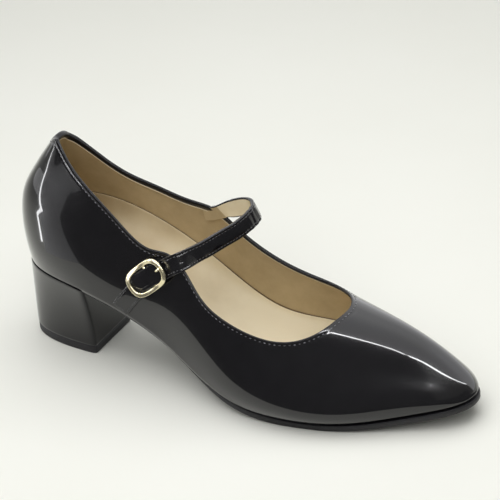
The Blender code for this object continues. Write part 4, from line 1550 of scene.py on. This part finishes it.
    def sew_tab(self, thread: Look) -> None:
        """Sews the tab down along its two edges and its end."""
        path, along, rear = self.tab_line(self.seam_steps)
        off = unit(np.cross(rear, along))
        last = int(self.seam_steps * (1 - self.seam_left / ways(path)[-1]))
        side = np.arange(self.seam_first, last)
        cross = np.linspace(1, -1, self.seam_cross)[1:-1]
        step = np.concatenate([side, np.full(len(cross), last), side[::-1]])
        share = np.concatenate([np.ones(len(side)), cross, -np.ones(len(side))]) * self.tab_seam
        line = path[step] + rear[step] * share[:, None] + off[step] * (self.tab_thickness / 2)
        self.stitching.sew("tab_stitches", line, off[step], thread)

    def dress(self, strap: Strap, looks: Wardrobe) -> None:
        """Builds and dresses the buckle and its tab."""
        middle, long, short, normal = self.axes(strap)
        hand_in(self.build_frame(strap), "gold_plate", [looks.gold], "buckle_frame")
        reach = self.short - 0.5 * self.frame_width
        ends = np.array([middle + normal * self.bar_off + short * way * reach for way in (-1, 1)])
        bar = self.rod("buckle_bar", ends, self.bar_radius, self.bar_rings)
        hand_in(bar, "gold_plate", [looks.gold])
        line = np.array([middle + long * along * MM + normal * off * MM for along, off in self.prong_line])
        prong = self.rod("buckle_tongue", line, self.prong_radius, self.prong_rings)
        hand_in(prong, "gold_plate", [looks.gold], "buckle_prong")
        hand_in(self.build_tab(), "patent_leather", [looks.patent], "buckle_tab")
        self.sew_tab(looks.strap_thread)


# ---------------------------------------------------------------- studio


def pose(right: Array, up: Array, back: Array, place: Sequence[float]) -> Matrix:
    """The matrix of something at a place, with its three axes."""
    return Matrix([*np.column_stack([right, up, back, place]).tolist(), [0.0, 0.0, 0.0, 1.0]])


def flat(height: float, *places: tuple[float, float]) -> tuple:
    """Four corners that lie at one height."""
    return tuple((*place, height) for place in places)


def wall(start: tuple[float, float], end: tuple[float, float], height: float) -> tuple:
    """The four corners of a wall that stands on the floor."""
    return (*start, 0), (*end, 0), (*end, height), (*start, height)


@dataclass(frozen=True)
class CardGlow(Finish):
    """The cards' surface: a neutral glow as strong as the card's own values say."""

    name: str = "card glow"
    dark: str = "f7f8fb"
    light: str = "fbfbfa"
    sampled: bool = False

    def paint(self, bench: Bench) -> None:
        """Sets up the shader."""
        strength = bench.add("ShaderNodeAttribute", attribute_name="glow").outputs["Fac"]
        tint = bench.blend(bench.noise(0.6, 1), self.dark, self.light, 0.2, 0.8)
        bench.set(Base_Color=linear("000000"), Specular_IOR_Level=0.0)
        bench.set(Emission_Color=tint, Emission_Strength=strength)
        bench.material.cycles.emission_sampling = "AUTO" if self.sampled else "NONE"


@dataclass(frozen=True)
class Card:
    """A studio card that is met only by shine: a flat sheet with four corners that glows softly.

    Its corners go round it. The glow goes from first, at the side of the fourth and the first corner, to
    last at the other side.
    """

    name: str
    corners: tuple
    first: float
    last: float
    steps: int = 12

    def build(self, glow: Look) -> None:
        """Makes the card: its points at shares a from the first corner to the second, b to the fourth."""
        a, b = np.meshgrid(np.linspace(0, 1, self.steps + 1), np.linspace(0, 1, 3))
        p0, p1, p2, p3 = (np.array(corner, float) for corner in self.corners)
        a3, b3 = a[..., None], b[..., None]
        points = (p0 * (1 - a3) + p1 * a3) * (1 - b3) + (p3 * (1 - a3) + p2 * a3) * b3
        quads = grid_faces(3, self.steps + 1, False, False)
        card = add_mesh(self.name, points.reshape(-1, 3) - LAST.shift, quads)
        strength = self.first + (self.last - self.first) * eased(a)
        shine = card.data.attributes.new("glow", "FLOAT", "POINT")
        shine.data.foreach_set("value", strength.ravel().astype(np.float32))
        card.data.materials.append(glow)
        for kind in ("camera", "diffuse", "shadow", "transmission", "volume_scatter"):
            setattr(card, f"visible_{kind}", False)


@dataclass(frozen=True)
class SoftBox:
    """A soft light that fills the shoe and the floor, and is left out of the shine."""

    name: str
    centre: tuple
    aim: tuple
    size: tuple
    glow: float
    only: tuple = ()

    def build(self) -> None:
        """Hangs the light at its centre, facing its aim; a light for only some pieces shines in them too."""
        back = unit(np.array(self.centre) - np.array(self.aim))
        right = unit(np.cross((0.0, 1.0, 0.0), back))
        data = bpy.data.lights.new(self.name, "AREA")
        data.shape = "RECTANGLE"
        data.size, data.size_y = self.size
        data.energy = self.glow * self.size[0] * self.size[1] * np.pi
        light = bpy.data.objects.new(self.name, data)
        light.matrix_world = pose(right, np.cross(back, right), back, self.centre)
        light.visible_camera = False
        light.visible_glossy = bool(self.only)
        if self.only:
            pieces = bpy.data.collections.new(f"lit by {self.name}")
            for name in self.only:
                pieces.objects.link(bpy.data.objects[name])
            light.light_linking.receiver_collection = pieces
        bpy.context.scene.collection.objects.link(light)


@dataclass
class Studio:
    """The pale floor, the soft lights, the cards round the shoe and the camera.

    The corners of the cards' plan are (x, y). The cards' front and back, left and right are as seen from
    the camera.
    """

    azimuth: float = 30
    elevation: float = 32
    roll: float = 5
    distance: float = 1.3
    aim: tuple = (0.0, 0.0046, 0.045)
    moved_right: float = 2.285 * MM
    moved_up: float = 23.36 * MM
    lens: float = 184.3
    sensor: float = 36
    nearest: float = 0.05
    floor_half: float = 4.0
    floor_points: int = 9
    room: float = 0.3
    heel_corner: tuple = (-0.165, -0.135)
    toe_corner: tuple = (0.145, -0.05)
    front_left: tuple = (-0.95, -0.905)
    front_right: tuple = (1.10, -1.30)
    right: tuple = (1.2, 0.4)
    left: tuple = (-1.30, -0.90)
    back_left: tuple = (-1.2, 1.3)
    back_right: tuple = (1.5, 1.2)
    beside_toe: tuple = (0.15, 0.06)
    behind_heel: tuple = (-0.20, -0.062)
    near: tuple = ((-0.235, -0.077), (-0.235, -0.0835))
    bend: tuple = ((-0.42, -0.200), (-0.417, -0.214))
    far: tuple = ((-0.68, -0.46), (-0.67, -0.48))
    low: float = 0.6 * MM
    lower: float = 0.4 * MM
    ceiling: float = 1.0
    ceiling_corner: tuple = (0.70, -0.75)
    ceiling_left: tuple = (-0.876, 0.482)
    ceiling_back: tuple = (0.42, 0.907)
    ceiling_size: tuple = (2.3, 2.6)
    ceiling_glow: float = 1.45
    strip_drop: float = 0.01
    strip_widths: tuple = (0.032, 0.04)
    strip_glows: tuple = (30, 32)
    boxes: tuple = (
        SoftBox("box over the shoe", (-0.03, 0.08, 0.65), (-0.03, 0.08, 0.0), (0.8, 0.8), 1.9),
        SoftBox("box at the front", (0.1, -0.8, 0.95), (0.0, 0.0, 0.0), (1.0, 0.8), 1.9),
        SoftBox(
            "box for the buckle",
            (-0.25, -0.7, 0.45),
            (-0.03, -0.03, 0.07),
            (0.9, 0.7),
            2.1,
            ("buckle_oval", "buckle_bar", "buckle_tongue"),
        ),
    )

    def set_camera(self) -> None:
        """Makes the camera, which looks at its aim and is then moved along its own right and up."""
        a, e, r = np.radians([self.azimuth, self.elevation, self.roll])
        level = np.array([np.cos(a), np.sin(a), 0])
        steep = np.array([-np.sin(a) * np.sin(e), np.cos(a) * np.sin(e), np.cos(e)])
        back = np.array([np.sin(a) * np.cos(e), -np.cos(a) * np.cos(e), np.sin(e)])
        right = level * np.cos(r) - steep * np.sin(r)
        up = level * np.sin(r) + steep * np.cos(r)
        place = np.array(self.aim) + self.distance * back + self.moved_right * right + self.moved_up * up
        data = bpy.data.cameras.new("camera")
        data.lens, data.sensor_width, data.clip_start = self.lens, self.sensor, self.nearest
        camera = bpy.data.objects.new("camera", data)
        camera.matrix_world = pose(right, up, back, place)
        bpy.context.scene.collection.objects.link(camera)
        bpy.context.scene.camera = camera

    def set_floor(self, looks: Wardrobe) -> None:
        """Lays the floor."""
        count = self.floor_points
        x, y = np.meshgrid(*[np.linspace(-self.floor_half, self.floor_half, count)] * 2)
        points = np.stack([x, y, np.zeros_like(x)], -1).reshape(-1, 3) - LAST.shift
        floor = add_mesh("floor", points, grid_faces(count, count, False, False))
        floor.data.materials.append(looks.floor)

    def set_world(self) -> None:
        """The room's own soft light."""
        world = bpy.data.worlds.new("room")
        world.use_nodes = True
        back = world.node_tree.nodes["Background"]
        back.inputs["Color"].default_value = linear("f6f7f2")
        back.inputs["Strength"].default_value = self.room
        bpy.context.scene.world = world

    def cards(self) -> tuple[Card, ...]:
        """The cards that stand and lie round the shoe."""
        heel, toe, low, lower = self.heel_corner, self.toe_corner, self.low, self.lower
        front_left, front_right, right, left = self.front_left, self.front_right, self.right, self.left
        (near, near_front), (bend, bend_front), (far, far_front) = self.near, self.bend, self.far
        return (
            # The dark side of the room, and what the shine meets of the floor before it.
            Card("card_dark", wall(front_left, front_right, 2.2), 0.13, 0.19),
            Card("card_low", flat(low, heel, toe, front_right, front_left), 0.13, 0.16),
            Card("card_right", flat(low, toe, self.beside_toe, right, front_right), 0.15, 0.15),
            Card("card_right_wall", wall(front_right, right, 0.5), 0.18, 0.18),
            # Between the dark and the strip at the left.
            Card("card_grey", flat(lower, self.behind_heel, heel, front_left, left), 1.0, 0.68),
            Card("card_grey_wall", wall(left, front_left, 1.0), 1.0, 0.68),
            # The strip that draws the white line down the counter.
            Card("strip_left", flat(low, near, bend, bend_front, near_front), 14, 14),
            Card("strip_left_far", flat(low, bend, far, far_front, bend_front), 15, 16),
            Card("strip_left_wall", wall(far, far_front, 0.9), 17, 17),
            # The bright sides.
            Card("card_left", wall(self.back_left, left, 1.0), 1.5, 1.7),
            Card("card_back", wall(self.back_right, self.back_left, 1.0), 1.6, 1.6),
        )

    def overhead(self) -> tuple[Card, ...]:
        """The bright ceiling, and a brighter strip along its front and its right rim."""
        left, back = (unit(np.array([*way, 0.0])) for way in (self.ceiling_left, self.ceiling_back))
        wide, deep = self.ceiling_size
        front, side = self.strip_widths
        corner = np.array([*self.ceiling_corner, self.ceiling - self.strip_drop])
        high = corner + (0, 0, self.strip_drop)

        def sheet(start: Array, one: Array, other: Array) -> tuple:
            """The four corners of a sheet from a start along two ways."""
            return start, start + one, start + one + other, start + other

        roof = sheet(high, left * wide, back * deep)
        glow, (front_glow, side_glow) = self.ceiling_glow, self.strip_glows
        return (
            Card("ceiling", roof, glow, glow),
            Card("strip_front", sheet(corner, left * wide, -back * front), front_glow, front_glow),
            Card("strip_right", sheet(corner, back * deep, -left * side), side_glow, side_glow),
        )

    def set_cards(self) -> None:
        """Stands the cards; the bright strips and the ceiling are sampled as lights."""
        plain = CardGlow().make()
        lamp = CardGlow("strip glow", sampled=True).make()
        for card in self.cards():
            card.build(lamp if card.name.startswith("strip") else plain)
        for card in self.overhead():
            card.build(lamp)

    def light(self, looks: Wardrobe) -> None:
        """Sets up the whole studio."""
        bpy.context.scene.view_settings.view_transform = "Standard"
        self.set_floor(looks)
        self.set_world()
        for box in self.boxes:
            box.build()
        self.set_cards()
        self.set_camera()


# ---------------------------------------------------------------- making


def main() -> None:
    """Builds the shoe, piece by piece, and the studio around it."""
    logging.basicConfig(level=logging.INFO, format="%(name)s: %(message)s")
    LAST.settle()
    looks = Wardrobe()
    strap = Strap()
    Upper().dress(looks)
    Sock().dress(looks)
    Outsole().dress(looks)
    Heel().dress(looks)
    strap.dress(looks)
    Buckle().dress(strap, looks)
    Studio().light(looks)


if __name__ == "__main__":
    main()
